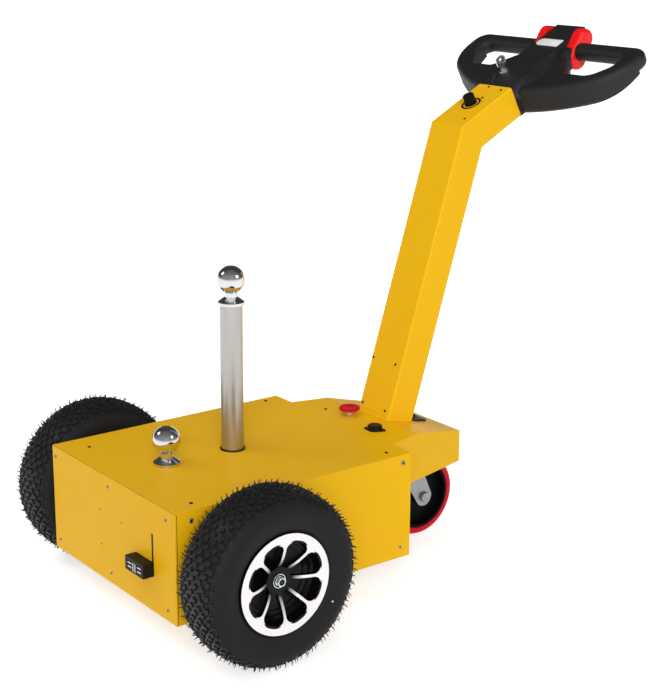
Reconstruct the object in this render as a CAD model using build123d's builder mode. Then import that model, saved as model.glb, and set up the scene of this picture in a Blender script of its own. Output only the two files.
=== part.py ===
"""Walk-behind electric tow tractor: steel body, two drive wheels, rear caster, tow balls, steering column.

Millimetres. +X is the left-hand side of someone walking behind it, -Y the towing front, +Y the handle end,
+Z up. The origin is on the floor under the centre of the whole machine's box.
"""

import math
import os

from build123d import *

# Clearances
GAP = 0.3
RUNNING_FIT = 0.05

# Main body: a folded steel box on a flat floor plate
BODY_WIDTH = 412.0
BODY_LENGTH = 491.0
DECK_HEIGHT = 262.0
BODY_BOTTOM = 67.0
SHEET = 2.5
FLOOR_SHEET = 4.0
DECK_HOLE_CLEARANCE = 1.0

# Tail: a tapered skirt behind the box, its deck sloping down at the end
TAIL_FRONT_WIDTH = 307.0
TAIL_REAR_WIDTH = 206.0
TAIL_LENGTH = 209.0
TAIL_FOLD_BEHIND_BOX = 73.0
TAIL_SLOPE = 12.2
TAIL_BOTTOM = 171.0
CROSS_PLATE_HEIGHT = 202.0
CROSS_PLATE_BEHIND_BOX = 69.0

# Drive wheels: where they are, the rim, its spokes and hub, then the tyre
AXLE_Y = 129.0
TYRE_SIDE_GAP = 22.0
RIM_WIDTH = 96.0
RIM_FLANGE_RADIUS = 87.0
RIM_FLANGE_THICKNESS = 5.0
RIM_BARREL_RADIUS = 74.0
RIM_WALL = 3.0
RIM_RING_WIDTH = 16.5
DISH_DEPTH = 20.0
DISH_MID_DEPTH = 6.4
DISC_THICKNESS = 9.0
SPOKE_COUNT = 8
SPOKE_WIDTH = 5.0
POCKET_OUTER_CORNER = 11.0
POCKET_INNER_CORNER = 3.5
HUB_RADIUS = 23.0
HUB_LENGTH = 62.0
TYRE_RADIUS = 151.0
TYRE_WIDTH = 104.0
TYRE_TREAD_WIDTH = 84.0
TREAD_CROWN = 5.0
TYRE_BEAD_RADIUS = 87.0
TYRE_WALL = 8.0
TYRE_CHORDS = 2

# Drive axle and the bolts at its ends
AXLE_SHAFT_RADIUS = 10.0
AXLE_TUBE_RADIUS = 21.0
GEAR_CASE_RADIUS = 52.0
GEAR_CASE_WIDTH = 96.0
HUB_BOLT_RADIUS = 8.0
HUB_BOLT_HEIGHT = 7.0
HUB_WASHER_RADIUS = 12.0
HUB_WASHER_HEIGHT = 2.0

# Towing balls, both 50 mm: one on the deck and one on the post
BALL_RADIUS = 25.0
BALL_FLAT_RADIUS = 9.0
BALL_NECK_RADIUS = 11.5
BALL_FLANGE_RADIUS = 23.5
BALL_RIM_HEIGHT = 5.0
BALL_FLARE_HEIGHT = 9.0
BALL_CENTRE_HEIGHT = 43.5
STUD_RADIUS = 9.0
STUD_LENGTH = 22.0
LOW_BALL_Y = 112.0
POST_Y = 249.0
POST_RADIUS = 20.0
POST_TOP = 264.5
POST_COLLAR_RADIUS = 22.5
POST_COLLAR_HEIGHT = 1.8

# Rear caster
CASTER_BEHIND_BOX = 139.0
CASTER_TRAIL = 47.0
CASTER_RADIUS = 80.0
CASTER_WIDTH = 44.0
CASTER_TREAD = 11.0
CASTER_TREAD_CHAMFER = 4.0
CASTER_RING = 8.0
CASTER_WEB = 12.0
CASTER_HUB_RADIUS = 17.0
CASTER_HUB_WIDTH = 52.0
CASTER_BOLT_RADIUS = 6.0
CASTER_NUT_RADIUS = 10.2
CASTER_NUT_HEIGHT = 6.0
FORK_THICKNESS = 4.0
FORK_EYE_RADIUS = 19.0
FORK_SHOULDER_RADIUS = 8.0
FORK_CROWN_HEIGHT = 172.0
FORK_CROWN_RADIUS = 40.0
SWIVEL_RADIUS = 33.0
SWIVEL_LIP = 5.0
CASTER_PLATE = 5.0
CASTER_PLATE_SIZE = 108.0
CASTER_PLATE_CORNER = 8.0

# Column: one square tube leaning back, then bent towards the hands
COLUMN_WIDTH = 89.0
COLUMN_DEPTH = 62.0
COLUMN_WALL = 3.0
COLUMN_CORNER = 3.5
COLUMN_BEHIND_BOX = 79.0
COLUMN_LEAN = 17.3
COLUMN_LENGTH = 565.0
HEAD_RISE = 28.0
NECK_LENGTH = 135.5

# Tiller head in its own plane (x across, s away from the column, h square to it): the two loops
HEAD_HALF_WIDTH = 226.0
HEAD_CORNER = 30.0
BAR_S = 177.0
BAR_H = -26.0
BAR_RADIUS = 15.5
SHELL_ROUND = 12.0
ARM_WIDTH = 40.0
ARM_START_S = 6.0
ARM_START_ANGLE = 12.0
ARM_BLEND_ANGLE = 35.0
ARM_STRAIGHT = 12.5
OPENING_DEPTH = 73.5
OPENING_INNER_X = 98.0
OPENING_INNER_CORNER = 12.0
OPENING_CUT = (25.0, 34.0)
OPENING_CUT_CORNER = 28.0
OPENING_REAR_CORNER = 14.0

# Tiller head: the core and its shoulders, the hood, the thumb paddles and the belly switch
CORE_HALF_WIDTH = 38.0
SHOULDER_X = 112.0
SHOULDER_FRONT_S = 40.0
SHOULDER_CREST_S = 32.0
KEEL_DEPTH = 64.0
KEEL_FRONT_S = 58.0
KEEL_REAR_S = 150.0
SPIGOT_LENGTH = 30.0
HOOD_HALF_WIDTH = 36.0
HOOD_BEFORE_BAR = 39.0
HOOD_BEHIND_BAR = 49.0
HOOD_DEPTH = 48.0
HOOD_ROUND = 3.0
PADDLE_LOBE = (-8.0, -10.0)
PADDLE_LOBE_RADIUS = 22.5
PADDLE_TIP = (25.0, 13.0)
PADDLE_TIP_RADIUS = 19.5
PADDLE_WIDTH = 22.0
PADDLE_ROUND = 7.0
PADDLE_CLEARANCE = 1.5
BELLY_THICKNESS = 7.0
BELLY_WIDTH = 50.0
BELLY_HEIGHT = 26.0
BELLY_CORNER = 5.0
BELLY_ROUND = 2.5
BELLY_H = -24.0

# Small fittings on the head and neck
KNOB_X = -4.0
KNOB_S = -64.0
KNOB_RADIUS = 11.0
KNOB_HEIGHT = 17.0
KNOB_SKIRT_RADIUS = 12.5
KNOB_SKIRT = 1.5
KNOB_CHAMFER = 1.2
KNOB_FLUTES = 18
KNOB_FLUTE_RADIUS = 1.0
KEY_X = -20.0
KEY_S = 48.0
LOCK_RADIUS = 10.0
LOCK_HEIGHT = 4.0
LOCK_CHAMFER = 1.2
KEY_THICKNESS = 2.5
KEY_BLADE_WIDTH = 9.0
KEY_BLADE_LENGTH = 8.0
KEY_BOW_WIDTH = 22.0
KEY_BOW_LENGTH = 20.0
KEY_BOW_CORNER = 5.0
KEY_EYE_RADIUS = 3.0

# Small fittings on the deck and in the front panel
STOP_X = -24.0
STOP_BEHIND_BOX = 41.0
STOP_RADIUS = 20.0
STOP_COLLAR_RADIUS = 8.5
STOP_COLLAR_HEIGHT = 11.0
STOP_HEAD_HEIGHT = 6.0
STOP_ROUND = 1.8
STOP_DISH_RADIUS = 14.0
STOP_DISH = 1.5
CAP_X = 72.0
CAP_BEHIND_BOX = 25.5
CAP_TURN = 32.0
CAP_EAR_REACH = 17.2
CAP_EAR_RADIUS = 3.5
CAP_PLATE = 2.5
CAP_RADIUS = 13.5
CAP_HEIGHT = 7.5
CAP_CHAMFER = 1.5
ROCKER_PLATE = (78.0, 38.0)
ROCKER_PLATE_THICKNESS = 3.0
ROCKER_PLATE_CORNER = 9.0
ROCKER_GAP = 2.0
ROCKER_SIZE = (26.0, 16.0)
ROCKER_HEIGHT = 4.0
PLUG_RIGHT_X = 137.0
PLUG_WIDTH = 57.0
PLUG_HEIGHT = 24.0
PLUG_REACH = 21.0
PLUG_CENTRE_DROP = 119.0
PLUG_BURIED = 24.0
PLUG_STEP = (44.0, 3.5, 5.0)
PLUG_SOCKET = (14.0, 13.0, 12.0)
PLUG_SOCKET_SPACING = 30.0
SLOT_WIDTH = 7.0
SLOT_TOP_DROP = 57.0

# Battery bay: the block keeps clear of the post, the rear panel and the side panels
BATTERY_HEIGHT = 150.0
BATTERY_END_GAP = 27.0
BATTERY_SIDE_GAP = 38.5

# Worked-out places
SIN_RISE = math.sin(math.radians(HEAD_RISE))
COS_RISE = math.cos(math.radians(HEAD_RISE))
TAIL_REAR_Y = BODY_LENGTH + TAIL_LENGTH
TAIL_FOLD_Y = BODY_LENGTH + TAIL_FOLD_BEHIND_BOX
CASTER_Y = BODY_LENGTH + CASTER_BEHIND_BOX
COLUMN_FRONT_Y = BODY_LENGTH + COLUMN_BEHIND_BOX
BEND_Y = COLUMN_FRONT_Y + COLUMN_LENGTH * math.sin(math.radians(COLUMN_LEAN))
BEND_Z = DECK_HEIGHT + COLUMN_LENGTH * math.cos(math.radians(COLUMN_LEAN))
NECK_END_Y = BEND_Y + NECK_LENGTH * COS_RISE
NECK_END_Z = BEND_Z + NECK_LENGTH * SIN_RISE
HOOD_FRONT_S = BAR_S - HOOD_BEFORE_BAR
HOOD_REAR_S = BAR_S + HOOD_BEHIND_BAR
BELLY_REAR_S = HOOD_REAR_S + BELLY_THICKNESS
BELLY_LOW_H = BELLY_H - BELLY_HEIGHT / 2
REAR_REACH = NECK_END_Y + BELLY_REAR_S * COS_RISE - BELLY_LOW_H * SIN_RISE
FRONT_REACH = TYRE_RADIUS - AXLE_Y
FRONT_Y = -(REAR_REACH - FRONT_REACH) / 2
HALF_WIDTH = BODY_WIDTH / 2
TYRE_CENTRE_X = HALF_WIDTH + TYRE_SIDE_GAP + TYRE_WIDTH / 2
AXLE_HEIGHT = TYRE_RADIUS
DECK_UNDER = DECK_HEIGHT - SHEET


def behind(distance: float) -> float:
    """Y of a place that lies a distance behind the front panel's face."""
    return FRONT_Y + distance


def save(part: Part, name: str) -> None:
    """Label a finished piece and write it."""
    part.label = name
    export_step(part, f"parts/{name}.step")


os.makedirs("parts", exist_ok=True)
HEAD_PLANE = Plane(
    origin=(0, behind(NECK_END_Y), NECK_END_Z),
    x_dir=(1, 0, 0),
    z_dir=(0, -SIN_RISE, COS_RISE),
)

# Deck: one sheet over the box and the tail, folded down towards the rear
DECK_FALL = math.tan(math.radians(TAIL_SLOPE)) * (TAIL_REAR_Y - TAIL_FOLD_Y)
SLOPE_PLANE = Plane(
    origin=(0, behind(TAIL_FOLD_Y), DECK_HEIGHT),
    x_dir=(1, 0, 0),
    z_dir=(0, math.sin(math.radians(TAIL_SLOPE)), math.cos(math.radians(TAIL_SLOPE))),
)

with BuildPart() as deck_plate:
    with BuildSketch(Plane.YZ):
        with BuildLine():
            Polyline(
                (behind(SHEET), DECK_HEIGHT),
                (behind(TAIL_FOLD_Y), DECK_HEIGHT),
                (behind(TAIL_REAR_Y), DECK_HEIGHT - DECK_FALL),
                (behind(TAIL_REAR_Y), DECK_UNDER - DECK_FALL),
                (behind(TAIL_FOLD_Y), DECK_UNDER),
                (behind(SHEET), DECK_UNDER),
                close=True,
            )
        make_face()
    extrude(amount=HALF_WIDTH, both=True)
    with BuildSketch(Plane.XY):
        with BuildLine():
            Polyline(
                (HALF_WIDTH, behind(SHEET)),
                (HALF_WIDTH, behind(BODY_LENGTH)),
                (TAIL_FRONT_WIDTH / 2, behind(BODY_LENGTH)),
                (TAIL_REAR_WIDTH / 2, behind(TAIL_REAR_Y)),
                (-TAIL_REAR_WIDTH / 2, behind(TAIL_REAR_Y)),
                (-TAIL_FRONT_WIDTH / 2, behind(BODY_LENGTH)),
                (-HALF_WIDTH, behind(BODY_LENGTH)),
                (-HALF_WIDTH, behind(SHEET)),
                close=True,
            )
        make_face()
    extrude(amount=DECK_HEIGHT + SHEET, mode=Mode.INTERSECT)
    with BuildSketch(Plane.XY.offset(DECK_UNDER)):
        with Locations((0, behind(POST_Y))):
            Circle(POST_RADIUS + DECK_HOLE_CLEARANCE)
        with Locations((0, behind(LOW_BALL_Y))):
            Circle(STUD_RADIUS + GAP)
    extrude(amount=SHEET, mode=Mode.SUBTRACT)
save(deck_plate.part, "deck_plate")

# Front panel with the slot above the battery plug and the plug's own cut-out
PLUG_X = PLUG_RIGHT_X - PLUG_WIDTH / 2
PLUG_Z = DECK_HEIGHT - PLUG_CENTRE_DROP
SLOT_HEIGHT = PLUG_CENTRE_DROP - PLUG_HEIGHT / 2 - SLOT_TOP_DROP
FRONT_PLANE = Plane(origin=(0, behind(SHEET), 0), x_dir=(1, 0, 0), z_dir=(0, -1, 0))

with BuildPart() as front_panel:
    with BuildSketch(FRONT_PLANE):
        with Locations((0, (DECK_HEIGHT + BODY_BOTTOM) / 2)):
            Rectangle(BODY_WIDTH, DECK_HEIGHT - BODY_BOTTOM)
        with Locations((PLUG_X, PLUG_Z)):
            Rectangle(PLUG_WIDTH + 2 * GAP, PLUG_HEIGHT + 2 * GAP, mode=Mode.SUBTRACT)
        with Locations((PLUG_RIGHT_X - SLOT_WIDTH / 2, PLUG_Z + PLUG_HEIGHT / 2 + SLOT_HEIGHT / 2)):
            Rectangle(SLOT_WIDTH, SLOT_HEIGHT + 2 * GAP, mode=Mode.SUBTRACT)
    extrude(amount=SHEET)
save(front_panel.part, "front_panel")

# Side panels, each with the hole that the axle tube passes through
SIDE_LENGTH = BODY_LENGTH - 2 * SHEET
SIDE_HEIGHT = DECK_UNDER - BODY_BOTTOM

for side_name, side in (("left", 1), ("right", -1)):
    with BuildPart() as side_panel:
        with BuildSketch(Plane.YZ.offset(side * HALF_WIDTH)):
            with Locations((behind(BODY_LENGTH / 2), BODY_BOTTOM + SIDE_HEIGHT / 2)):
                Rectangle(SIDE_LENGTH, SIDE_HEIGHT)
            with Locations((behind(AXLE_Y), AXLE_HEIGHT)):
                Circle(AXLE_TUBE_RADIUS + GAP, mode=Mode.SUBTRACT)
        extrude(amount=-side * SHEET)
    save(side_panel.part, f"side_panel_{side_name}")

with BuildPart() as rear_panel:
    with BuildSketch(Plane.XZ.offset(-behind(BODY_LENGTH))):
        with Locations((0, BODY_BOTTOM + SIDE_HEIGHT / 2)):
            Rectangle(BODY_WIDTH, SIDE_HEIGHT)
    extrude(amount=SHEET)
save(rear_panel.part, "rear_panel")

with BuildPart() as floor_plate:
    with BuildSketch(Plane.XY.offset(BODY_BOTTOM)):
        with Locations((0, behind(BODY_LENGTH / 2))):
            Rectangle(BODY_WIDTH - 2 * SHEET, SIDE_LENGTH)
    extrude(amount=FLOOR_SHEET)
save(floor_plate.part, "floor_plate")

# Tail skirt: two converging sides and a short rear wall, open below
TAIL_WALL_INSET = SHEET / math.cos(
    math.atan2((TAIL_FRONT_WIDTH - TAIL_REAR_WIDTH) / 2, TAIL_REAR_Y - BODY_LENGTH)
)


def tail_half_width(distance: float) -> float:
    """Half the clear width inside the tail skirt at a distance behind the front panel."""
    share = (distance - BODY_LENGTH) / (TAIL_REAR_Y - BODY_LENGTH)
    outer = TAIL_FRONT_WIDTH + (TAIL_REAR_WIDTH - TAIL_FRONT_WIDTH) * share
    return outer / 2 - TAIL_WALL_INSET


with BuildPart() as tail_skirt:
    with BuildSketch(Plane.XY.offset(TAIL_BOTTOM)):
        with BuildLine():
            Polyline(
                (TAIL_FRONT_WIDTH / 2, behind(BODY_LENGTH)),
                (TAIL_REAR_WIDTH / 2, behind(TAIL_REAR_Y)),
                (-TAIL_REAR_WIDTH / 2, behind(TAIL_REAR_Y)),
                (-TAIL_FRONT_WIDTH / 2, behind(BODY_LENGTH)),
                close=True,
            )
        make_face()
        with BuildLine():
            Polyline(
                (tail_half_width(BODY_LENGTH), behind(BODY_LENGTH)),
                (tail_half_width(TAIL_REAR_Y - SHEET), behind(TAIL_REAR_Y - SHEET)),
                (-tail_half_width(TAIL_REAR_Y - SHEET), behind(TAIL_REAR_Y - SHEET)),
                (-tail_half_width(BODY_LENGTH), behind(BODY_LENGTH)),
                close=True,
            )
        make_face(mode=Mode.SUBTRACT)
    extrude(amount=DECK_HEIGHT - TAIL_BOTTOM)
    with BuildSketch(Plane.YZ):
        with BuildLine():
            Polyline(
                (behind(BODY_LENGTH), TAIL_BOTTOM),
                (behind(BODY_LENGTH), DECK_UNDER),
                (behind(TAIL_FOLD_Y), DECK_UNDER),
                (behind(TAIL_REAR_Y), DECK_UNDER - DECK_FALL),
                (behind(TAIL_REAR_Y), TAIL_BOTTOM),
                close=True,
            )
        make_face()
    extrude(amount=HALF_WIDTH, both=True, mode=Mode.INTERSECT)
save(tail_skirt.part, "tail_skirt")


# Cross plate inside the tail, which the caster is bolted under
CROSS_FRONT_Y = BODY_LENGTH + CROSS_PLATE_BEHIND_BOX
CROSS_REAR_Y = TAIL_REAR_Y - SHEET

with BuildPart() as tail_cross_plate:
    with BuildSketch(Plane.XY.offset(CROSS_PLATE_HEIGHT)):
        with BuildLine():
            Polyline(
                (tail_half_width(CROSS_FRONT_Y), behind(CROSS_FRONT_Y)),
                (tail_half_width(CROSS_REAR_Y), behind(CROSS_REAR_Y)),
                (-tail_half_width(CROSS_REAR_Y), behind(CROSS_REAR_Y)),
                (-tail_half_width(CROSS_FRONT_Y), behind(CROSS_FRONT_Y)),
                close=True,
            )
        make_face()
    extrude(amount=FLOOR_SHEET)
save(tail_cross_plate.part, "tail_cross_plate")

# Drive axle: a tube through both side panels, the gear case on it and a stub shaft at each end
HUB_FACE_X = TYRE_CENTRE_X + RIM_WIDTH / 2 - DISH_DEPTH
HUB_INNER_X = HUB_FACE_X - HUB_LENGTH
AXLE_PLANE = Plane(origin=(0, behind(AXLE_Y), AXLE_HEIGHT), x_dir=(0, 1, 0), z_dir=(1, 0, 0))

with BuildPart() as drive_axle:
    with BuildSketch(AXLE_PLANE):
        Circle(AXLE_TUBE_RADIUS)
    extrude(amount=HUB_INNER_X - GAP, both=True)
    with BuildSketch(AXLE_PLANE):
        Circle(AXLE_SHAFT_RADIUS)
    extrude(amount=HUB_FACE_X, both=True)
    with BuildSketch(AXLE_PLANE):
        Circle(GEAR_CASE_RADIUS)
    extrude(amount=GEAR_CASE_WIDTH / 2, both=True)
save(drive_axle.part, "drive_axle")

# Battery block: the heavy mass inside the box, standing on the floor plate
BAY_FRONT_Y = POST_Y + POST_RADIUS + BATTERY_END_GAP
BAY_REAR_Y = BODY_LENGTH - SHEET - BATTERY_END_GAP
BATTERY_WIDTH = BODY_WIDTH - 2 * SHEET - 2 * BATTERY_SIDE_GAP

with BuildPart() as battery_block:
    with BuildSketch(Plane.XY.offset(BODY_BOTTOM + FLOOR_SHEET)):
        with Locations((0, behind((BAY_FRONT_Y + BAY_REAR_Y) / 2))):
            Rectangle(BATTERY_WIDTH, BAY_REAR_Y - BAY_FRONT_Y)
    extrude(amount=BATTERY_HEIGHT)
save(battery_block.part, "battery_block")

# Wheels
RIM_HALF = RIM_WIDTH / 2
RING_INNER = RIM_FLANGE_RADIUS - RIM_RING_WIDTH
BARREL_INNER = RIM_BARREL_RADIUS - RIM_WALL
FLANGE_X = RIM_HALF - RIM_FLANGE_THICKNESS
BEAD_X = FLANGE_X - GAP
BEAD_SEAT = RIM_BARREL_RADIUS + GAP
BORE_RADIUS = AXLE_SHAFT_RADIUS + RUNNING_FIT


def wheel_plane(side: int) -> Plane:
    """Half-plane through a wheel's axle: x outwards from the tyre's centre, y away from the axle."""
    return Plane(
        origin=(side * TYRE_CENTRE_X, behind(AXLE_Y), AXLE_HEIGHT),
        x_dir=(side, 0, 0),
        z_dir=(0, -side, 0),
    )


def rim_section() -> Sketch:
    """Half section of a rim: barrel and flanges, the dished disc, and the hub with its bore."""
    middle = (BARREL_INNER + HUB_RADIUS) / 2
    dish = ((0, BARREL_INNER), (DISH_MID_DEPTH, middle), (DISH_DEPTH, HUB_RADIUS))
    with BuildSketch() as section:
        with BuildLine():
            Polyline(
                (-RIM_HALF, BARREL_INNER),
                (RIM_HALF, BARREL_INNER),
                (RIM_HALF, RIM_FLANGE_RADIUS),
                (FLANGE_X, RIM_FLANGE_RADIUS),
                (FLANGE_X, RIM_BARREL_RADIUS),
                (-FLANGE_X, RIM_BARREL_RADIUS),
                (-FLANGE_X, RIM_FLANGE_RADIUS),
                (-RIM_HALF, RIM_FLANGE_RADIUS),
                close=True,
            )
        make_face()
        with BuildLine():
            crest = ThreePointArc(*((RIM_HALF - depth, radius) for depth, radius in dish))
            root = ThreePointArc(
                *((RIM_HALF - DISC_THICKNESS - depth, radius) for depth, radius in dish)
            )
            Line(crest @ 0, root @ 0)
            Line(crest @ 1, root @ 1)
        make_face()
        with Locations((RIM_HALF - DISH_DEPTH - HUB_LENGTH / 2, (HUB_RADIUS + BORE_RADIUS) / 2)):
            Rectangle(HUB_LENGTH, HUB_RADIUS - BORE_RADIUS)
    return section.sketch


def rim_pockets() -> Sketch:
    """The pockets between the spokes, seen from outside, wide at the ring and narrow at the hub."""
    with BuildSketch() as pockets:
        Circle(RING_INNER)
        Circle(HUB_RADIUS, mode=Mode.SUBTRACT)
        with PolarLocations(RIM_FLANGE_RADIUS / 2, SPOKE_COUNT):
            Rectangle(RIM_FLANGE_RADIUS, SPOKE_WIDTH, mode=Mode.SUBTRACT)
        middle = (RING_INNER + HUB_RADIUS) / 2
        fillet(
            pockets.vertices().filter_by(lambda corner: corner.center().length > middle),
            radius=POCKET_OUTER_CORNER,
        )
        fillet(
            pockets.vertices().filter_by(lambda corner: corner.center().length < HUB_RADIUS + GAP),
            radius=POCKET_INNER_CORNER,
        )
    return pockets.sketch


def build_rim(side: int) -> Part:
    """Aluminium rim: barrel, two flanges, a dished face with eight spokes and a hub."""
    plane = wheel_plane(side)
    face_plane = Plane(origin=plane.origin, x_dir=(0, 1, 0), z_dir=(side, 0, 0))
    with BuildPart() as rim:
        with BuildSketch(plane):
            add(rim_section())
        revolve(axis=Axis(plane.origin, (1, 0, 0)))
        with BuildSketch(face_plane.offset(RIM_HALF - DISH_DEPTH - DISC_THICKNESS)):
            add(rim_pockets())
        extrude(amount=DISH_DEPTH + DISC_THICKNESS, mode=Mode.SUBTRACT)
    return rim.part


def chords(start: tuple, middle: tuple, end: tuple) -> list:
    """Points evenly spaced along the arc through three points."""
    arc = Edge.make_three_point_arc(start, middle, end)
    return [arc @ (step / TYRE_CHORDS) for step in range(TYRE_CHORDS + 1)]


def build_tyre(side: int) -> Part:
    """Tyre carcass: crowned tread, bulging sidewalls and two beads that sit in the rim."""
    plane = wheel_plane(side)
    half = TYRE_WIDTH / 2
    bulge = (TYRE_BEAD_RADIUS + TYRE_RADIUS) / 2
    shoulder_radius = TYRE_RADIUS - TREAD_CROWN
    edge = TYRE_TREAD_WIDTH / 2
    with BuildPart() as tyre:
        with BuildSketch(plane):
            with BuildLine():
                Polyline(
                    (-BEAD_X, BEAD_SEAT),
                    *chords((-BEAD_X, TYRE_BEAD_RADIUS), (-half, bulge), (-edge, shoulder_radius)),
                    *chords((-edge, shoulder_radius), (0, TYRE_RADIUS), (edge, shoulder_radius))[1:],
                    *chords((edge, shoulder_radius), (half, bulge), (BEAD_X, TYRE_BEAD_RADIUS))[1:],
                    (BEAD_X, BEAD_SEAT),
                    (BEAD_X - TYRE_WALL, BEAD_SEAT),
                    (half - TYRE_WALL, bulge),
                    (edge - TYRE_WALL, shoulder_radius - TYRE_WALL),
                    (TYRE_WALL - edge, shoulder_radius - TYRE_WALL),
                    (TYRE_WALL - half, bulge),
                    (TYRE_WALL - BEAD_X, BEAD_SEAT),
                    close=True,
                )
            make_face()
        revolve(axis=Axis(plane.origin, (1, 0, 0)))
    return tyre.part


def build_hub_bolt(side: int) -> Part:
    """Hexagon bolt and washer that hold a wheel on its shaft."""
    face_plane = Plane(
        origin=(side * (HUB_FACE_X + GAP), behind(AXLE_Y), AXLE_HEIGHT),
        x_dir=(0, 1, 0),
        z_dir=(side, 0, 0),
    )
    with BuildPart() as bolt:
        with BuildSketch(face_plane):
            Circle(HUB_WASHER_RADIUS)
        extrude(amount=HUB_WASHER_HEIGHT)
        with BuildSketch(face_plane.offset(HUB_WASHER_HEIGHT)):
            RegularPolygon(HUB_BOLT_RADIUS, 6)
        extrude(amount=HUB_BOLT_HEIGHT)
    return bolt.part


for side_name, side in (("left", 1), ("right", -1)):
    save(build_rim(side), f"wheel_rim_{side_name}")
    save(build_tyre(side), f"tyre_{side_name}")
    save(build_hub_bolt(side), f"hub_bolt_{side_name}")


# Towing balls: a rim to stand on, a flare up to the neck and a ball with a small flat on top
def build_ball(distance: float, base: float) -> Part:
    """Towing ball that stands on a level base, with its stud below."""
    flat_height = BALL_CENTRE_HEIGHT + math.sqrt(BALL_RADIUS**2 - BALL_FLAT_RADIUS**2)
    neck_meet = BALL_CENTRE_HEIGHT - math.sqrt(BALL_RADIUS**2 - BALL_NECK_RADIUS**2)
    with BuildPart() as ball:
        with BuildSketch(Plane(origin=(0, behind(distance), base), x_dir=(1, 0, 0), z_dir=(0, -1, 0))):
            with BuildLine():
                Polyline(
                    (0, flat_height),
                    (0, -STUD_LENGTH),
                    (STUD_RADIUS, -STUD_LENGTH),
                    (STUD_RADIUS, 0),
                    (BALL_FLANGE_RADIUS, 0),
                    (BALL_FLANGE_RADIUS, BALL_RIM_HEIGHT),
                    (BALL_NECK_RADIUS, BALL_RIM_HEIGHT + BALL_FLARE_HEIGHT),
                    (BALL_NECK_RADIUS, neck_meet),
                )
                ThreePointArc(
                    (BALL_NECK_RADIUS, neck_meet),
                    (BALL_RADIUS, BALL_CENTRE_HEIGHT),
                    (BALL_FLAT_RADIUS, flat_height),
                )
                Line((BALL_FLAT_RADIUS, flat_height), (0, flat_height))
            make_face()
        revolve(axis=Axis((0, behind(distance), base), (0, 0, 1)))
    return ball.part


POST_BOTTOM = BODY_BOTTOM + FLOOR_SHEET
POST_HEAD_Z = DECK_HEIGHT + POST_TOP

save(build_ball(LOW_BALL_Y, DECK_HEIGHT), "tow_ball_low")
save(build_ball(POST_Y, POST_HEAD_Z), "tow_ball_high")

with BuildPart() as tow_post:
    with BuildSketch(Plane.XY.offset(POST_BOTTOM)):
        with Locations((0, behind(POST_Y))):
            Circle(POST_RADIUS)
    extrude(amount=POST_HEAD_Z - POST_BOTTOM)
    with BuildSketch(Plane.XY.offset(POST_HEAD_Z)):
        with Locations((0, behind(POST_Y))):
            Circle(STUD_RADIUS + GAP)
    extrude(amount=-(STUD_LENGTH + GAP), mode=Mode.SUBTRACT)
save(tow_post.part, "tow_post")

with BuildPart() as post_collar:
    with BuildSketch(Plane.XY.offset(DECK_HEIGHT)):
        with Locations((0, behind(POST_Y))):
            Circle(POST_COLLAR_RADIUS)
            Circle(POST_RADIUS + GAP, mode=Mode.SUBTRACT)
    extrude(amount=POST_COLLAR_HEIGHT)
save(post_collar.part, "post_collar")

# Caster: fixed plate and race, then the swivelling fork, its axle bolt and the wheel
CASTER_AXLE_Y = CASTER_Y + CASTER_TRAIL
PLATE_BOTTOM = CROSS_PLATE_HEIGHT - CASTER_PLATE
CROWN_TOP = FORK_CROWN_HEIGHT + FORK_THICKNESS
RACE_BOTTOM = CROWN_TOP + GAP
FORK_INNER = CASTER_HUB_WIDTH / 2 + GAP
FORK_OUTER = FORK_INNER + FORK_THICKNESS + GAP
CASTER_BORE = CASTER_BOLT_RADIUS + RUNNING_FIT
TREAD_SEAT = CASTER_RADIUS - CASTER_TREAD
CASTER_PLANE = Plane(origin=(0, behind(CASTER_AXLE_Y), CASTER_RADIUS), x_dir=(0, 1, 0), z_dir=(1, 0, 0))
CASTER_SECTION = Plane(
    origin=(0, behind(CASTER_AXLE_Y), CASTER_RADIUS), x_dir=(1, 0, 0), z_dir=(0, -1, 0)
)
SWIVEL_SECTION = Plane(origin=(0, behind(CASTER_Y), 0), x_dir=(1, 0, 0), z_dir=(0, -1, 0))
CASTER_AXIS = Axis((0, behind(CASTER_AXLE_Y), CASTER_RADIUS), (1, 0, 0))

with BuildPart() as caster_plate:
    with BuildSketch(Plane.XY.offset(PLATE_BOTTOM)):
        with Locations((0, behind(CASTER_Y))):
            RectangleRounded(CASTER_PLATE_SIZE, CASTER_PLATE_SIZE, CASTER_PLATE_CORNER)
    extrude(amount=CASTER_PLATE)
    with BuildSketch(SWIVEL_SECTION):
        with BuildLine():
            Polyline(
                (0, PLATE_BOTTOM),
                (0, RACE_BOTTOM),
                (SWIVEL_RADIUS - SWIVEL_LIP, RACE_BOTTOM),
                (SWIVEL_RADIUS, RACE_BOTTOM + SWIVEL_LIP),
                (SWIVEL_RADIUS, PLATE_BOTTOM),
                close=True,
            )
        make_face()
    revolve(axis=Axis((0, behind(CASTER_Y), 0), (0, 0, 1)))
save(caster_plate.part, "caster_plate")

with BuildPart() as caster_fork:
    with BuildSketch(Plane.XY.offset(FORK_CROWN_HEIGHT)):
        with Locations((0, behind(CASTER_Y))):
            Circle(FORK_CROWN_RADIUS)
    extrude(amount=FORK_THICKNESS)
    for arm in (1, -1):
        with BuildSketch(Plane.YZ.offset(arm * FORK_INNER)):
            with Locations(
                (behind(CASTER_Y) - FORK_CROWN_RADIUS / 2, CROWN_TOP - FORK_SHOULDER_RADIUS),
                (behind(CASTER_Y) + FORK_CROWN_RADIUS / 2, CROWN_TOP - FORK_SHOULDER_RADIUS),
            ):
                Circle(FORK_SHOULDER_RADIUS)
            with Locations((behind(CASTER_AXLE_Y), CASTER_RADIUS)):
                Circle(FORK_EYE_RADIUS)
            make_hull()
            with Locations((behind(CASTER_AXLE_Y), CASTER_RADIUS)):
                Circle(CASTER_BORE, mode=Mode.SUBTRACT)
        extrude(amount=arm * FORK_THICKNESS)
save(caster_fork.part, "caster_fork")

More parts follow.
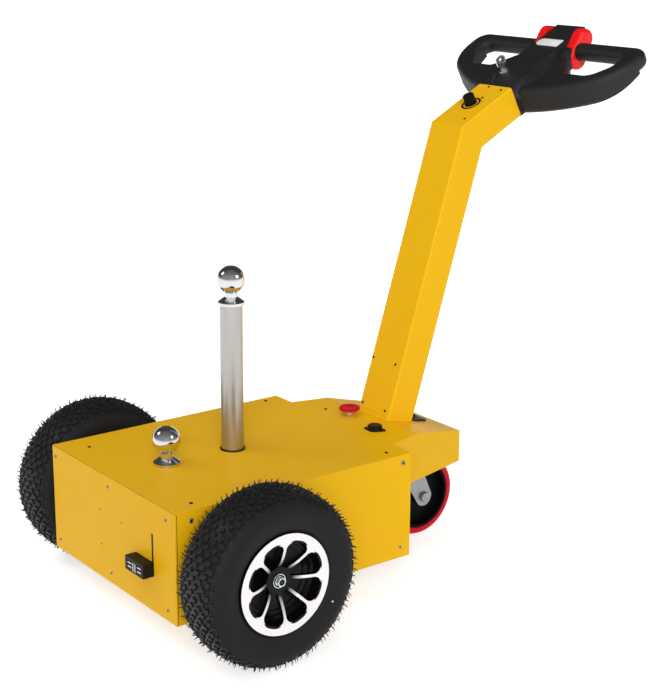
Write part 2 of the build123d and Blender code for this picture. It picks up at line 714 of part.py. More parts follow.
with BuildPart() as caster_bolt:
    with BuildSketch(CASTER_PLANE):
        Circle(CASTER_BOLT_RADIUS)
    extrude(amount=FORK_OUTER, both=True)
    for end in (1, -1):
        with BuildSketch(CASTER_PLANE.offset(end * FORK_OUTER)):
            RegularPolygon(CASTER_NUT_RADIUS, 6)
        extrude(amount=end * CASTER_NUT_HEIGHT)
save(caster_bolt.part, "caster_bolt")

with BuildPart() as caster_core:
    with BuildSketch(CASTER_SECTION):
        with Locations((0, TREAD_SEAT - CASTER_RING / 2)):
            Rectangle(CASTER_WIDTH, CASTER_RING)
        with Locations((0, (TREAD_SEAT + CASTER_BORE) / 2)):
            Rectangle(CASTER_WEB, TREAD_SEAT - CASTER_BORE)
        with Locations((0, (CASTER_HUB_RADIUS + CASTER_BORE) / 2)):
            Rectangle(CASTER_HUB_WIDTH, CASTER_HUB_RADIUS - CASTER_BORE)
    revolve(axis=CASTER_AXIS)
save(caster_core.part, "caster_core")

with BuildPart() as caster_tread:
    with BuildSketch(CASTER_SECTION) as tread_section:
        with Locations((0, CASTER_RADIUS - CASTER_TREAD / 2)):
            Rectangle(CASTER_WIDTH, CASTER_TREAD)
        chamfer(tread_section.vertices().group_by(Axis.Y)[-1], length=CASTER_TREAD_CHAMFER)
    revolve(axis=CASTER_AXIS)
save(caster_tread.part, "caster_tread")

# Column: a leaning lower tube and a neck, mitred together
LEAN_Y = math.sin(math.radians(COLUMN_LEAN))
LEAN_Z = math.cos(math.radians(COLUMN_LEAN))
MITRE_PLANE = Plane(
    origin=(0, behind(BEND_Y), BEND_Z), x_dir=(1, 0, 0), z_dir=(0, LEAN_Y + COS_RISE, LEAN_Z + SIN_RISE)
)
LOWER_PLANE = Plane(
    origin=(
        0,
        behind(COLUMN_FRONT_Y) + LEAN_Z * COLUMN_DEPTH / 2 - LEAN_Y * COLUMN_DEPTH,
        DECK_HEIGHT - LEAN_Y * COLUMN_DEPTH / 2 - LEAN_Z * COLUMN_DEPTH,
    ),
    x_dir=(1, 0, 0),
    z_dir=(0, LEAN_Y, LEAN_Z),
)
NECK_PLANE = Plane(
    origin=(
        0,
        behind(NECK_END_Y) + SIN_RISE * COLUMN_DEPTH / 2,
        NECK_END_Z - COS_RISE * COLUMN_DEPTH / 2,
    ),
    x_dir=(1, 0, 0),
    z_dir=(0, COS_RISE, SIN_RISE),
)


def tube_section() -> None:
    """Hollow section of the column with folded corners, square to its run."""
    RectangleRounded(COLUMN_WIDTH, COLUMN_DEPTH, COLUMN_CORNER)
    Rectangle(COLUMN_WIDTH - 2 * COLUMN_WALL, COLUMN_DEPTH - 2 * COLUMN_WALL, mode=Mode.SUBTRACT)


with BuildPart() as column_lower:
    with BuildSketch(LOWER_PLANE):
        tube_section()
    extrude(amount=COLUMN_LENGTH + 3 * COLUMN_DEPTH)
    split(bisect_by=MITRE_PLANE, keep=Keep.BOTTOM)
    split(bisect_by=SLOPE_PLANE, keep=Keep.TOP)
save(column_lower.part, "column_lower")

with BuildPart() as column_neck:
    with BuildSketch(NECK_PLANE):
        tube_section()
    extrude(amount=-(NECK_LENGTH + 2 * COLUMN_DEPTH))
    split(bisect_by=MITRE_PLANE, keep=Keep.TOP)
save(column_neck.part, "column_neck")

# Tiller head: two moulded half shells that form a pair of closed loops around a central core
HEAD_REAR_S = BAR_S + BAR_RADIUS
BAR_FRONT_S = BAR_S - BAR_RADIUS
OPENING_FRONT_S = BAR_FRONT_S - OPENING_DEPTH
NOTCH_WIDTH = PADDLE_WIDTH + 2 * GAP
HEAD_SIDE_PLANE = Plane(origin=HEAD_PLANE.origin, x_dir=(0, COS_RISE, SIN_RISE), z_dir=(1, 0, 0))
HEAD_END_PLANE = Plane(origin=HEAD_PLANE.origin, x_dir=(-1, 0, 0), z_dir=(0, COS_RISE, SIN_RISE))

# Radii of the front arm's two arcs, from the width and the depth that they span together
SIN_START = math.sin(math.radians(ARM_START_ANGLE))
COS_START = math.cos(math.radians(ARM_START_ANGLE))
SIN_BLEND = math.sin(math.radians(ARM_BLEND_ANGLE))
COS_BLEND = math.cos(math.radians(ARM_BLEND_ANGLE))
ARM_SPAN_X = HEAD_HALF_WIDTH - COLUMN_WIDTH / 2
ARM_SPAN_S = HEAD_REAR_S - HEAD_CORNER - ARM_STRAIGHT - ARM_START_S
ARM_SHARE = (SIN_BLEND - SIN_START) * COS_BLEND - (1 - SIN_BLEND) * (COS_START - COS_BLEND)
ARM_INNER_RADIUS = (ARM_SPAN_X * COS_BLEND - ARM_SPAN_S * (1 - SIN_BLEND)) / ARM_SHARE
ARM_OUTER_RADIUS = (
    ARM_SPAN_S * (SIN_BLEND - SIN_START) - ARM_SPAN_X * (COS_START - COS_BLEND)
) / ARM_SHARE


def loop_opening() -> Sketch:
    """The two finger openings, one each side of the core."""
    inner_x = HOOD_HALF_WIDTH + NOTCH_WIDTH
    outer_x = HEAD_HALF_WIDTH - ARM_WIDTH
    cut_x, cut_s = OPENING_CUT
    with BuildSketch() as opening:
        with BuildLine():
            Polyline(
                (inner_x, BAR_FRONT_S),
                (inner_x, HOOD_FRONT_S),
                (OPENING_INNER_X, OPENING_FRONT_S),
                (outer_x - cut_x, OPENING_FRONT_S),
                (outer_x, OPENING_FRONT_S + cut_s),
                (outer_x, BAR_FRONT_S),
                close=True,
            )
        make_face()
        for x, s, radius in (
            (OPENING_INNER_X, OPENING_FRONT_S, OPENING_INNER_CORNER),
            (outer_x - cut_x, OPENING_FRONT_S, OPENING_CUT_CORNER),
            (outer_x, OPENING_FRONT_S + cut_s, OPENING_CUT_CORNER),
            (outer_x, BAR_FRONT_S, OPENING_REAR_CORNER),
        ):
            fillet(opening.vertices().sort_by_distance((x, s))[0], radius=radius)
        mirror(about=Plane.YZ)
    return opening.sketch


def handle_outline() -> Sketch:
    """Plan of the head: two loops joined in the middle, seen square to the head's plane."""
    with BuildSketch() as outline:
        with BuildLine():
            inner = JernArc(
                (COLUMN_WIDTH / 2, ARM_START_S),
                (COS_START, SIN_START),
                ARM_INNER_RADIUS,
                ARM_BLEND_ANGLE - ARM_START_ANGLE,
            )
            outer = JernArc(inner @ 1, inner % 1, ARM_OUTER_RADIUS, 90 - ARM_BLEND_ANGLE)
            Polyline(
                outer @ 1,
                (HEAD_HALF_WIDTH, HEAD_REAR_S),
                (0, HEAD_REAR_S),
                (0, ARM_START_S - COLUMN_WIDTH / 2 * SIN_START / COS_START),
                (COLUMN_WIDTH / 2, ARM_START_S),
            )
        make_face()
        corner = outline.vertices().sort_by(lambda point: point.X + point.Y)[-1]
        fillet(corner, radius=HEAD_CORNER)
        mirror(about=Plane.YZ)
        add(loop_opening(), mode=Mode.SUBTRACT)
    return outline.sketch


def rounded_loops(amount: float) -> Part:
    """The head's plan made solid from the parting plane, its far edges rounded all the way along."""
    with BuildPart() as loops:
        with BuildSketch(HEAD_PLANE.offset(BAR_H)):
            add(handle_outline())
        extrude(amount=amount)
        layers = loops.faces().sort_by(Axis(HEAD_PLANE.origin, HEAD_PLANE.z_dir))
        far_face = layers[-1] if amount > 0 else layers[0]
        fillet(far_face.edges(), radius=SHELL_ROUND)
    return loops.part


def core_block() -> Part:
    """Core between the column and the hood, with a flat crown and shoulders down to the arms."""
    with BuildPart() as core:
        with BuildSketch(HEAD_PLANE.offset(BAR_H)):
            with BuildLine():
                Polyline(
                    (0, 0),
                    (COLUMN_WIDTH / 2, 0),
                    (SHOULDER_X, SHOULDER_FRONT_S),
                    (SHOULDER_X, OPENING_FRONT_S - SHELL_ROUND),
                    (HOOD_HALF_WIDTH + NOTCH_WIDTH, HOOD_FRONT_S),
                    (0, HOOD_FRONT_S),
                    close=True,
                )
            make_face()
            mirror(about=Plane.YZ)
        with BuildSketch(HEAD_PLANE):
            with BuildLine():
                Polyline(
                    (0, 0),
                    (COLUMN_WIDTH / 2, 0),
                    (CORE_HALF_WIDTH, SHOULDER_CREST_S),
                    (CORE_HALF_WIDTH, OPENING_FRONT_S - SHELL_ROUND),
                    (CORE_HALF_WIDTH, HOOD_FRONT_S),
                    (0, HOOD_FRONT_S),
                    close=True,
                )
            make_face()
            mirror(about=Plane.YZ)
        loft(ruled=True)
    return core.part


def side_profile(s: float, h: float, width: float, depth: float) -> Part:
    """Box across the whole head, width by depth in its side view, hung from the corner (s, h)."""
    with BuildPart() as box:
        with BuildSketch(HEAD_SIDE_PLANE):
            with Locations((s, h)):
                Rectangle(width, depth, align=(Align.MIN, Align.MAX))
        extrude(amount=HEAD_HALF_WIDTH, both=True)
    return box.part


def hood_box() -> Part:
    """Space between the loops that the hood fills."""
    with BuildPart() as space:
        with BuildSketch(HEAD_SIDE_PLANE):
            with Locations((HOOD_FRONT_S, 0)):
                Rectangle(HOOD_REAR_S - HOOD_FRONT_S, HOOD_DEPTH, align=(Align.MIN, Align.MAX))
        extrude(amount=HOOD_HALF_WIDTH, both=True)
    return space.part


def paddle_outline(margin: float) -> Sketch:
    """Side view of a thumb paddle, grown all round by a margin."""
    with BuildSketch() as outline:
        with Locations((BAR_S + PADDLE_LOBE[0], BAR_H + PADDLE_LOBE[1])):
            Circle(PADDLE_LOBE_RADIUS + margin)
        with Locations((BAR_S + PADDLE_TIP[0], BAR_H + PADDLE_TIP[1])):
            Circle(PADDLE_TIP_RADIUS + margin)
        make_hull()
    return outline.sketch


def paddle_notches() -> Part:
    """Room beside the hood for the two paddles, around the spindle that they turn on."""
    with BuildPart() as notches:
        for side in (1, -1):
            with BuildSketch(HEAD_SIDE_PLANE.offset(side * HOOD_HALF_WIDTH)):
                add(paddle_outline(PADDLE_CLEARANCE))
                with Locations((BAR_S, BAR_H)):
                    Circle(BAR_RADIUS, mode=Mode.SUBTRACT)
            extrude(amount=side * NOTCH_WIDTH)
    return notches.part


with BuildPart() as head_upper:
    add(rounded_loops(BAR_RADIUS))
    add(side_profile(-COLUMN_DEPTH, 0, COLUMN_DEPTH, COLUMN_DEPTH), mode=Mode.SUBTRACT)
    add(core_block())
    add(hood_box(), mode=Mode.SUBTRACT)
    add(paddle_notches(), mode=Mode.SUBTRACT)
save(head_upper.part, "head_shell_upper")

SPIGOT_WIDTH = COLUMN_WIDTH - 2 * COLUMN_WALL - 2 * GAP
SPIGOT_LOW_H = -COLUMN_DEPTH + COLUMN_WALL + GAP

with BuildPart() as keel:
    add(rounded_loops(-(KEEL_DEPTH + BAR_H)))
    with BuildSketch(HEAD_SIDE_PLANE):
        with BuildLine():
            Polyline(
                (KEEL_FRONT_S, -KEEL_DEPTH),
                (KEEL_REAR_S, BAR_H - BAR_RADIUS),
                (KEEL_REAR_S, BAR_H),
                (HOOD_REAR_S, BAR_H),
                (HOOD_REAR_S, -KEEL_DEPTH),
                close=True,
            )
        make_face()
    extrude(amount=HEAD_HALF_WIDTH, both=True, mode=Mode.SUBTRACT)

with BuildPart() as head_lower:
    add(rounded_loops(-BAR_RADIUS))
    add(keel.part)
    with BuildSketch(HEAD_PLANE.offset(BAR_H)):
        with Locations((0, KEEL_FRONT_S / 2)):
            Rectangle(COLUMN_WIDTH, KEEL_FRONT_S)
    extrude(amount=-(COLUMN_DEPTH + BAR_H))
    add(side_profile(-COLUMN_DEPTH, 0, COLUMN_DEPTH, KEEL_DEPTH), mode=Mode.SUBTRACT)
    add(hood_box(), mode=Mode.SUBTRACT)
    add(paddle_notches(), mode=Mode.SUBTRACT)
    with BuildSketch(HEAD_END_PLANE):
        with Locations((0, (SPIGOT_LOW_H + BAR_H) / 2)):
            Rectangle(SPIGOT_WIDTH, BAR_H - SPIGOT_LOW_H)
    extrude(amount=-SPIGOT_LENGTH)
save(head_lower.part, "head_shell_lower")

with BuildPart() as head_hood:
    add(hood_box())
    fillet(head_hood.edges().filter_by(Axis.X), radius=HOOD_ROUND)
save(head_hood.part, "head_hood")

for side_name, side in (("left", 1), ("right", -1)):
    with BuildPart() as paddle:
        with BuildSketch(HEAD_SIDE_PLANE.offset(side * (HOOD_HALF_WIDTH + GAP))):
            add(paddle_outline(0))
        extrude(amount=side * PADDLE_WIDTH)
        fillet(paddle.faces().sort_by(Axis.X)[-1 if side > 0 else 0].edges(), radius=PADDLE_ROUND)
        with BuildSketch(HEAD_SIDE_PLANE.offset(side * (HOOD_HALF_WIDTH + GAP))):
            with Locations((BAR_S, BAR_H)):
                Circle(BAR_RADIUS + GAP)
        extrude(amount=side * PADDLE_WIDTH, mode=Mode.SUBTRACT)
    save(paddle.part, f"thumb_paddle_{side_name}")

with BuildPart() as belly_switch:
    with BuildSketch(HEAD_END_PLANE.offset(HOOD_REAR_S)):
        with Locations((0, BELLY_H)):
            RectangleRounded(BELLY_WIDTH, BELLY_HEIGHT, BELLY_CORNER)
    extrude(amount=BELLY_THICKNESS)
    outer_face = belly_switch.faces().sort_by(Axis(HEAD_PLANE.origin, HEAD_END_PLANE.z_dir))[-1]
    fillet(outer_face.edges(), radius=BELLY_ROUND)
save(belly_switch.part, "belly_switch")

# Key switch, key and speed knob
with BuildPart() as key_switch:
    with BuildSketch(HEAD_PLANE):
        with Locations((KEY_X, KEY_S)):
            Circle(LOCK_RADIUS)
    extrude(amount=LOCK_HEIGHT)
    chamfer(
        key_switch.faces().sort_by(Axis(HEAD_PLANE.origin, HEAD_PLANE.z_dir))[-1].edges(),
        length=LOCK_CHAMFER,
    )
save(key_switch.part, "key_switch")

KEY_BLADE_H = LOCK_HEIGHT + GAP
KEY_BOW_H = KEY_BLADE_H + KEY_BLADE_LENGTH

with BuildPart() as key:
    with BuildSketch(HEAD_SIDE_PLANE.offset(KEY_X - KEY_THICKNESS / 2)):
        with Locations((KEY_S, KEY_BLADE_H + KEY_BLADE_LENGTH / 2)):
            Rectangle(KEY_BLADE_WIDTH, KEY_BLADE_LENGTH)
        with Locations((KEY_S, KEY_BOW_H + KEY_BOW_LENGTH / 2)):
            RectangleRounded(KEY_BOW_WIDTH, KEY_BOW_LENGTH, KEY_BOW_CORNER)
        with Locations((KEY_S, KEY_BOW_H + KEY_BOW_LENGTH - 2 * KEY_EYE_RADIUS)):
            Circle(KEY_EYE_RADIUS, mode=Mode.SUBTRACT)
    extrude(amount=KEY_THICKNESS)
save(key.part, "key")

with BuildPart() as speed_knob:
    with BuildSketch(HEAD_PLANE.offset(GAP)):
        with Locations((KNOB_X, KNOB_S)):
            Circle(KNOB_SKIRT_RADIUS)
    extrude(amount=KNOB_SKIRT)
    with BuildSketch(HEAD_PLANE.offset(GAP + KNOB_SKIRT)):
        with Locations((KNOB_X, KNOB_S)):
            Circle(KNOB_RADIUS)
            with PolarLocations(KNOB_RADIUS, KNOB_FLUTES):
                Circle(KNOB_FLUTE_RADIUS, mode=Mode.SUBTRACT)
    extrude(amount=KNOB_HEIGHT - KNOB_CHAMFER)
    with BuildSketch(HEAD_PLANE.offset(GAP + KNOB_SKIRT + KNOB_HEIGHT - KNOB_CHAMFER)):
        with Locations((KNOB_X, KNOB_S)):
            Circle(KNOB_RADIUS - KNOB_FLUTE_RADIUS)
    extrude(amount=KNOB_CHAMFER)
save(speed_knob.part, "speed_knob")

# Deck fittings
STOP_Y = BODY_LENGTH + STOP_BEHIND_BOX
STOP_PLANE = Plane(
    origin=(STOP_X, behind(STOP_Y), DECK_HEIGHT), x_dir=(1, 0, 0), z_dir=(0, -1, 0)
)
CAP_PLACE = (CAP_X, behind(BODY_LENGTH + CAP_BEHIND_BOX))

with BuildPart() as stop_collar:
    with BuildSketch(Plane.XY.offset(DECK_HEIGHT)):
        with Locations((STOP_X, behind(STOP_Y))):
            Circle(STOP_COLLAR_RADIUS)
    extrude(amount=STOP_COLLAR_HEIGHT)
save(stop_collar.part, "stop_collar")

with BuildPart() as stop_button:
    with BuildSketch(STOP_PLANE):
        with BuildLine():
            Polyline(
                (0, STOP_COLLAR_HEIGHT),
                (STOP_RADIUS - STOP_ROUND, STOP_COLLAR_HEIGHT),
                (STOP_RADIUS, STOP_COLLAR_HEIGHT + STOP_ROUND),
                (STOP_RADIUS, STOP_COLLAR_HEIGHT + STOP_HEAD_HEIGHT - STOP_ROUND),
                (STOP_RADIUS - STOP_ROUND, STOP_COLLAR_HEIGHT + STOP_HEAD_HEIGHT),
                (STOP_DISH_RADIUS, STOP_COLLAR_HEIGHT + STOP_HEAD_HEIGHT),
                (0, STOP_COLLAR_HEIGHT + STOP_HEAD_HEIGHT - STOP_DISH),
                close=True,
            )
        make_face()
    revolve(axis=Axis((STOP_X, behind(STOP_Y), DECK_HEIGHT), (0, 0, 1)))
save(stop_button.part, "stop_button")

with BuildPart() as charge_cap:
    with BuildSketch(Plane.XY.offset(DECK_HEIGHT)):
        with Locations(CAP_PLACE):
            Circle(CAP_RADIUS)
            with PolarLocations(CAP_EAR_REACH, 2, start_angle=CAP_TURN):
                Circle(CAP_EAR_RADIUS)
        make_hull()
    extrude(amount=CAP_PLATE)
    with BuildSketch(Plane.XY.offset(DECK_HEIGHT + CAP_PLATE)):
        with Locations(CAP_PLACE):
            Circle(CAP_RADIUS)
    extrude(amount=CAP_HEIGHT)
    chamfer(charge_cap.faces().sort_by(Axis.Z)[-1].edges(), length=CAP_CHAMFER)
save(charge_cap.part, "charge_cap")

COLUMN_REAR_Y = COLUMN_FRONT_Y + COLUMN_DEPTH / math.cos(math.radians(COLUMN_LEAN))
ROCKER_S = (COLUMN_REAR_Y + ROCKER_GAP - TAIL_FOLD_Y) / math.cos(math.radians(TAIL_SLOPE))
ROCKER_PLACE = (0, ROCKER_S + ROCKER_PLATE[1] / 2)

with BuildPart() as rocker_switch:
    with BuildSketch(SLOPE_PLANE):
        with Locations(ROCKER_PLACE):
            RectangleRounded(*ROCKER_PLATE, ROCKER_PLATE_CORNER)
    extrude(amount=ROCKER_PLATE_THICKNESS)
    with BuildSketch(SLOPE_PLANE.offset(ROCKER_PLATE_THICKNESS)):
        with Locations(ROCKER_PLACE):
            Rectangle(*ROCKER_SIZE)
    extrude(amount=ROCKER_HEIGHT)
save(rocker_switch.part, "rocker_switch")

# Battery plug: a block with two sockets in its face and a narrower step below it
STEP_WIDTH, STEP_DROP, STEP_REACH = PLUG_STEP
SOCKET_WIDTH, SOCKET_HEIGHT, SOCKET_DEPTH = PLUG_SOCKET

with BuildPart() as battery_plug:
    with BuildSketch(Plane(origin=(0, behind(PLUG_BURIED), 0), x_dir=(1, 0, 0), z_dir=(0, -1, 0))):
        with Locations((PLUG_X, PLUG_Z)):
            Rectangle(PLUG_WIDTH, PLUG_HEIGHT)
    extrude(amount=PLUG_BURIED + PLUG_REACH)
    with BuildSketch(Plane(origin=(0, behind(-GAP), 0), x_dir=(1, 0, 0), z_dir=(0, -1, 0))):
        with Locations((PLUG_X, PLUG_Z - (PLUG_HEIGHT + STEP_DROP) / 2)):
            Rectangle(STEP_WIDTH, STEP_DROP)
    extrude(amount=PLUG_REACH - STEP_REACH)
    with BuildSketch(Plane(origin=(0, behind(-PLUG_REACH), 0), x_dir=(1, 0, 0), z_dir=(0, -1, 0))):
        with Locations((PLUG_X, PLUG_Z)):
            with GridLocations(PLUG_SOCKET_SPACING, 0, 2, 1):
                Rectangle(SOCKET_WIDTH, SOCKET_HEIGHT)
    extrude(amount=-SOCKET_DEPTH, mode=Mode.SUBTRACT)
save(battery_plug.part, "battery_plug")
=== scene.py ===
"""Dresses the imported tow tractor: finishes, tyres with their tread, small fittings, studio and camera.

Metres, in the frame of the solids: +X the left-hand side of someone walking behind the machine, -Y its
towing front, +Z up, the floor at z = 0.
"""

import logging
import math
from dataclasses import dataclass, field
from enum import Enum
from typing import Any, Callable, Iterable, Sequence, Union

import bmesh
import bpy
from mathutils import Matrix, Vector

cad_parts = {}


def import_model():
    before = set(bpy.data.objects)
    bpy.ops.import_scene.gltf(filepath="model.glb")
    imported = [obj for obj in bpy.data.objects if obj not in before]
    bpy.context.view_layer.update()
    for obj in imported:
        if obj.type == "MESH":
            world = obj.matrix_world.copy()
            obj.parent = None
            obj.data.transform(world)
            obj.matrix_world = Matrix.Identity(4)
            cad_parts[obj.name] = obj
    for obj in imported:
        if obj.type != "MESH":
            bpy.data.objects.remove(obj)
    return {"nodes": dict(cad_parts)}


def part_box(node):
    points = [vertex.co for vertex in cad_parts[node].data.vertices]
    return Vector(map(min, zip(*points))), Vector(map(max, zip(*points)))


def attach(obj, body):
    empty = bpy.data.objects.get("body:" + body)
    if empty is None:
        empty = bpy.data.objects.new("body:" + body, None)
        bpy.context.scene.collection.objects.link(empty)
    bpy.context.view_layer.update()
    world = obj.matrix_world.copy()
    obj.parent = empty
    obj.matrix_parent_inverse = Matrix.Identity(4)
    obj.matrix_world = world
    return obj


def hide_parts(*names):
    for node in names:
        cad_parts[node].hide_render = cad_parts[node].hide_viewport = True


MM = 0.001
FACES_UP = 0.5
LIES_FLAT = 0.9
LOG = logging.getLogger("tow_tractor")
Colour = tuple[float, float, float]
Number = Union[float, "Wire"]


class Side(Enum):
    """The two sides of the machine, seen by someone walking behind it."""

    LEFT = "left"
    RIGHT = "right"

    @property
    def sign(self) -> int:
        """Return +1 on the left and -1 on the right."""
        return 1 if self is Side.LEFT else -1


class Grain(Enum):
    """Direction in which brushed metal was rubbed."""

    ALONG_X = (0.04, 1.0, 1.0)
    ALONG_Z = (1.0, 1.0, 0.04)


# Shader maths


class Wire:
    """A number's socket that takes part in Python sums."""

    def __init__(self, tree: "Tree", socket: bpy.types.NodeSocket) -> None:
        """Hold a socket.

        Args:
            tree: the tree that new nodes join.
            socket: the socket that gives the number.
        """
        self.tree = tree
        self.socket = socket

    def _sum(self, operation: str, first: Number, second: Number) -> "Wire":
        """Add a Math node.

        Args:
            operation: the node's operation.
            first: its first number or socket.
            second: its second number or socket.

        Returns:
            The wire that leaves the node.
        """
        node = self.tree.node("ShaderNodeMath", {"operation": operation}, {0: first, 1: second})
        return Wire(self.tree, node.outputs[0])

    def __add__(self, other: Number) -> "Wire":
        """Return the sum."""
        return self._sum("ADD", self, other)

    __radd__ = __add__

    def __sub__(self, other: Number) -> "Wire":
        """Return the difference."""
        return self._sum("SUBTRACT", self, other)

    def __rsub__(self, other: Number) -> "Wire":
        """Return the difference, the other way round."""
        return self._sum("SUBTRACT", other, self)

    def __mul__(self, other: Number) -> "Wire":
        """Return the product."""
        return self._sum("MULTIPLY", self, other)

    __rmul__ = __mul__

    def __truediv__(self, other: Number) -> "Wire":
        """Return the quotient."""
        return self._sum("DIVIDE", self, other)

    def __gt__(self, other: Number) -> "Wire":
        """Return 1 where this is the larger, else 0."""
        return self._sum("GREATER_THAN", self, other)

    def __lt__(self, other: Number) -> "Wire":
        """Return 1 where this is the smaller, else 0."""
        return self._sum("LESS_THAN", self, other)

    def root(self) -> "Wire":
        """Return the square root."""
        return self._sum("SQRT", self, 0.0)

    def sine(self) -> "Wire":
        """Return the sine."""
        return self._sum("SINE", self, 0.0)

    def clipped(self) -> "Wire":
        """Return the value held between 0 and 1."""
        return self._sum("MINIMUM", self._sum("MAXIMUM", self, 0.0), 1.0)


class Tree:
    """A tree of shader nodes, a material's or the world's."""

    def __init__(self, tree: bpy.types.NodeTree) -> None:
        """Hold a tree.

        Args:
            tree: the tree that new nodes join.
        """
        self.nodes = tree.nodes
        self.links = tree.links

    def node(self, kind: str, settings: dict[str, Any], sockets: dict[Any, Any]) -> bpy.types.Node:
        """Add a node.

        Args:
            kind: the node's type.
            settings: its properties, set first; "stops" holds a ramp's places and colours.
            sockets: values, sockets or wires for its inputs, by name or number.

        Returns:
            The new node.
        """
        node = self.nodes.new(kind)
        for key, value in settings.items():
            if key == "stops":
                self.stops(node.color_ramp, value)
            else:
                setattr(node, key, value)
        for key, value in sockets.items():
            self.feed(node.inputs[key], value)
        return node

    @staticmethod
    def stops(ramp: bpy.types.ColorRamp, stops: Sequence[tuple[float, Colour]]) -> None:
        """Give a ramp its stops.

        Args:
            ramp: the ramp, which starts with two stops.
            stops: place and colour of each stop, in order.
        """
        while len(ramp.elements) < len(stops):
            ramp.elements.new(1.0)
        for element, (place, colour) in zip(ramp.elements, stops):
            element.position = place
            element.color = (*colour, 1.0)

    def feed(self, socket: bpy.types.NodeSocket, value: Any) -> None:
        """Set or link an input.

        Args:
            socket: the input.
            value: a plain value, a socket or a wire.
        """
        if isinstance(value, Wire):
            self.links.new(value.socket, socket)
        elif isinstance(value, bpy.types.NodeSocket):
            self.links.new(value, socket)
        elif isinstance(value, tuple) and len(value) == 3 and socket.type == "RGBA":
            socket.default_value = (*value, 1.0)
        else:
            socket.default_value = value

    def split(self, vector: bpy.types.NodeSocket) -> tuple[Wire, ...]:
        """Return a vector's three numbers."""
        outputs = self.node("ShaderNodeSeparateXYZ", {}, {0: vector}).outputs
        return tuple(Wire(self, socket) for socket in outputs)

    def rays(self, *kinds: str) -> Wire:
        """Tell some kinds of ray from the others.

        Args:
            kinds: outputs of the Light Path node.

        Returns:
            1 for rays of those kinds, else 0.
        """
        path = self.node("ShaderNodeLightPath", {}, {})
        first, *others = (Wire(self, path.outputs[kind]) for kind in kinds)
        for other in others:
            first = first + other
        return first.clipped()

    def glow(self, kind: str, colour: Any, strength: Number) -> bpy.types.NodeSocket:
        """Add a shader that gives light.

        Args:
            kind: the node's type, an emission or a background.
            colour: its colour.
            strength: its strength, where 1 shows a white colour as white.

        Returns:
            The shader's socket.
        """
        return self.node(kind, {}, {"Color": colour, "Strength": strength}).outputs[0]

    def show(self, output: str, shader: bpy.types.NodeSocket) -> None:
        """Link a shader to the surface of the output of that name."""
        self.links.new(shader, self.nodes[output].inputs["Surface"])


class Sheet(Tree):
    """One material's nodes, with the piece's own coordinates ready for use."""

    def __init__(self, name: str) -> None:
        """Start a material with its principled shader.

        Args:
            name: the material's name.
        """
        self.material = bpy.data.materials.new(name)
        self.material.use_nodes = True
        super().__init__(self.material.node_tree)
        self.shader = self.nodes["Principled BSDF"]
        self.place = self.node("ShaderNodeTexCoord", {}, {}).outputs["Object"]
        self.x, self.y, self.z = self.split(self.place)

    def from_axle(self, centre: Vector) -> tuple[Wire, Wire, Wire]:
        """Measure from an axle along x.

        Args:
            centre: a point on the axle.

        Returns:
            The places along y and z from it, and the distance from it.
        """
        across, up = self.y - centre.y, self.z - centre.z
        return across, up, (across * across + up * up).root()

    def stretched(self, scale: tuple[float, float, float]) -> bpy.types.NodeSocket:
        """Return the piece's coordinates, scaled along each axis."""
        return self.node("ShaderNodeMapping", {}, {"Vector": self.place, "Scale": scale}).outputs[0]

    def noise(self, scale: float, detail: float = 2.0, vector: Any = None) -> Wire:
        """Add noise.

        Args:
            scale: patterns per metre.
            detail: octaves of finer noise.
            vector: coordinates, or None for the piece's own.

        Returns:
            The noise, about 0.5 on average.
        """
        sockets = {"Vector": vector or self.place, "Scale": scale, "Detail": detail}
        return Wire(self, self.node("ShaderNodeTexNoise", {}, sockets).outputs["Fac"])

    def mix(self, factor: Number, first: Any, second: Any) -> bpy.types.NodeSocket:
        """Blend two colours.

        Args:
            factor: share of the second.
            first: colour at factor 0.
            second: colour at factor 1.

        Returns:
            The blended colour's socket.
        """
        node = self.node("ShaderNodeMix", {"data_type": "RGBA"}, {0: factor, 6: first, 7: second})
        return node.outputs[2]

    def bump(self, height: Wire, distance: float, strength: float = 1.0) -> bpy.types.NodeSocket:
        """Return a normal that follows a height given in parts of a distance."""
        sockets = {"Height": height, "Distance": distance, "Strength": strength}
        return self.node("ShaderNodeBump", {}, sockets).outputs[0]

    def finish(self, **sockets: Any) -> bpy.types.Material:
        """Feed the shader and hand over the material.

        Args:
            sockets: shader inputs, with underscores for the spaces in their names.

        Returns:
            The material.
        """
        for key, value in sockets.items():
            self.feed(self.shader.inputs[key.replace("_", " ")], value)
        return self.material


# Finishes


@dataclass(frozen=True)
class PowderCoat:
    """Semi-gloss powder coat: slightly uneven colour under a smooth, faintly rippled skin."""

    colour: Colour = (0.85, 0.48, 0.006)
    deep: Colour = (0.81, 0.44, 0.005)
    roughness: float = 0.42
    spread: float = 0.08
    ripple: float = 0.06 * MM

    def build(self) -> bpy.types.Material:
        """Return the material."""
        sheet = Sheet("yellow_powder_coat")
        cloud = sheet.noise(scale=3.0, detail=3.0)
        skin = sheet.noise(scale=900.0, detail=1.0)
        return sheet.finish(
            Base_Color=sheet.mix(cloud, self.colour, self.deep),
            Roughness=cloud * self.spread + (self.roughness - self.spread / 2),
            Specular_IOR_Level=0.07,
            Coat_Weight=0.10,
            Coat_IOR=1.4,
            Coat_Roughness=0.05,
            Normal=sheet.bump(skin, self.ripple, strength=0.5),
        )


@dataclass(frozen=True)
class Chrome:
    """Polished chrome with the faint swirls of its buffing."""

    colour: Colour = (0.72, 0.72, 0.73)
    swirled: Colour = (0.66, 0.66, 0.68)
    roughness: float = 0.04
    spread: float = 0.05

    def build(self) -> bpy.types.Material:
        """Return the material."""
        sheet = Sheet("polished_chrome")
        swirl = sheet.noise(scale=260.0, detail=4.0)
        return sheet.finish(
            Base_Color=sheet.mix(swirl, self.colour, self.swirled),
            Metallic=1.0,
            Roughness=swirl * self.spread + self.roughness,
        )


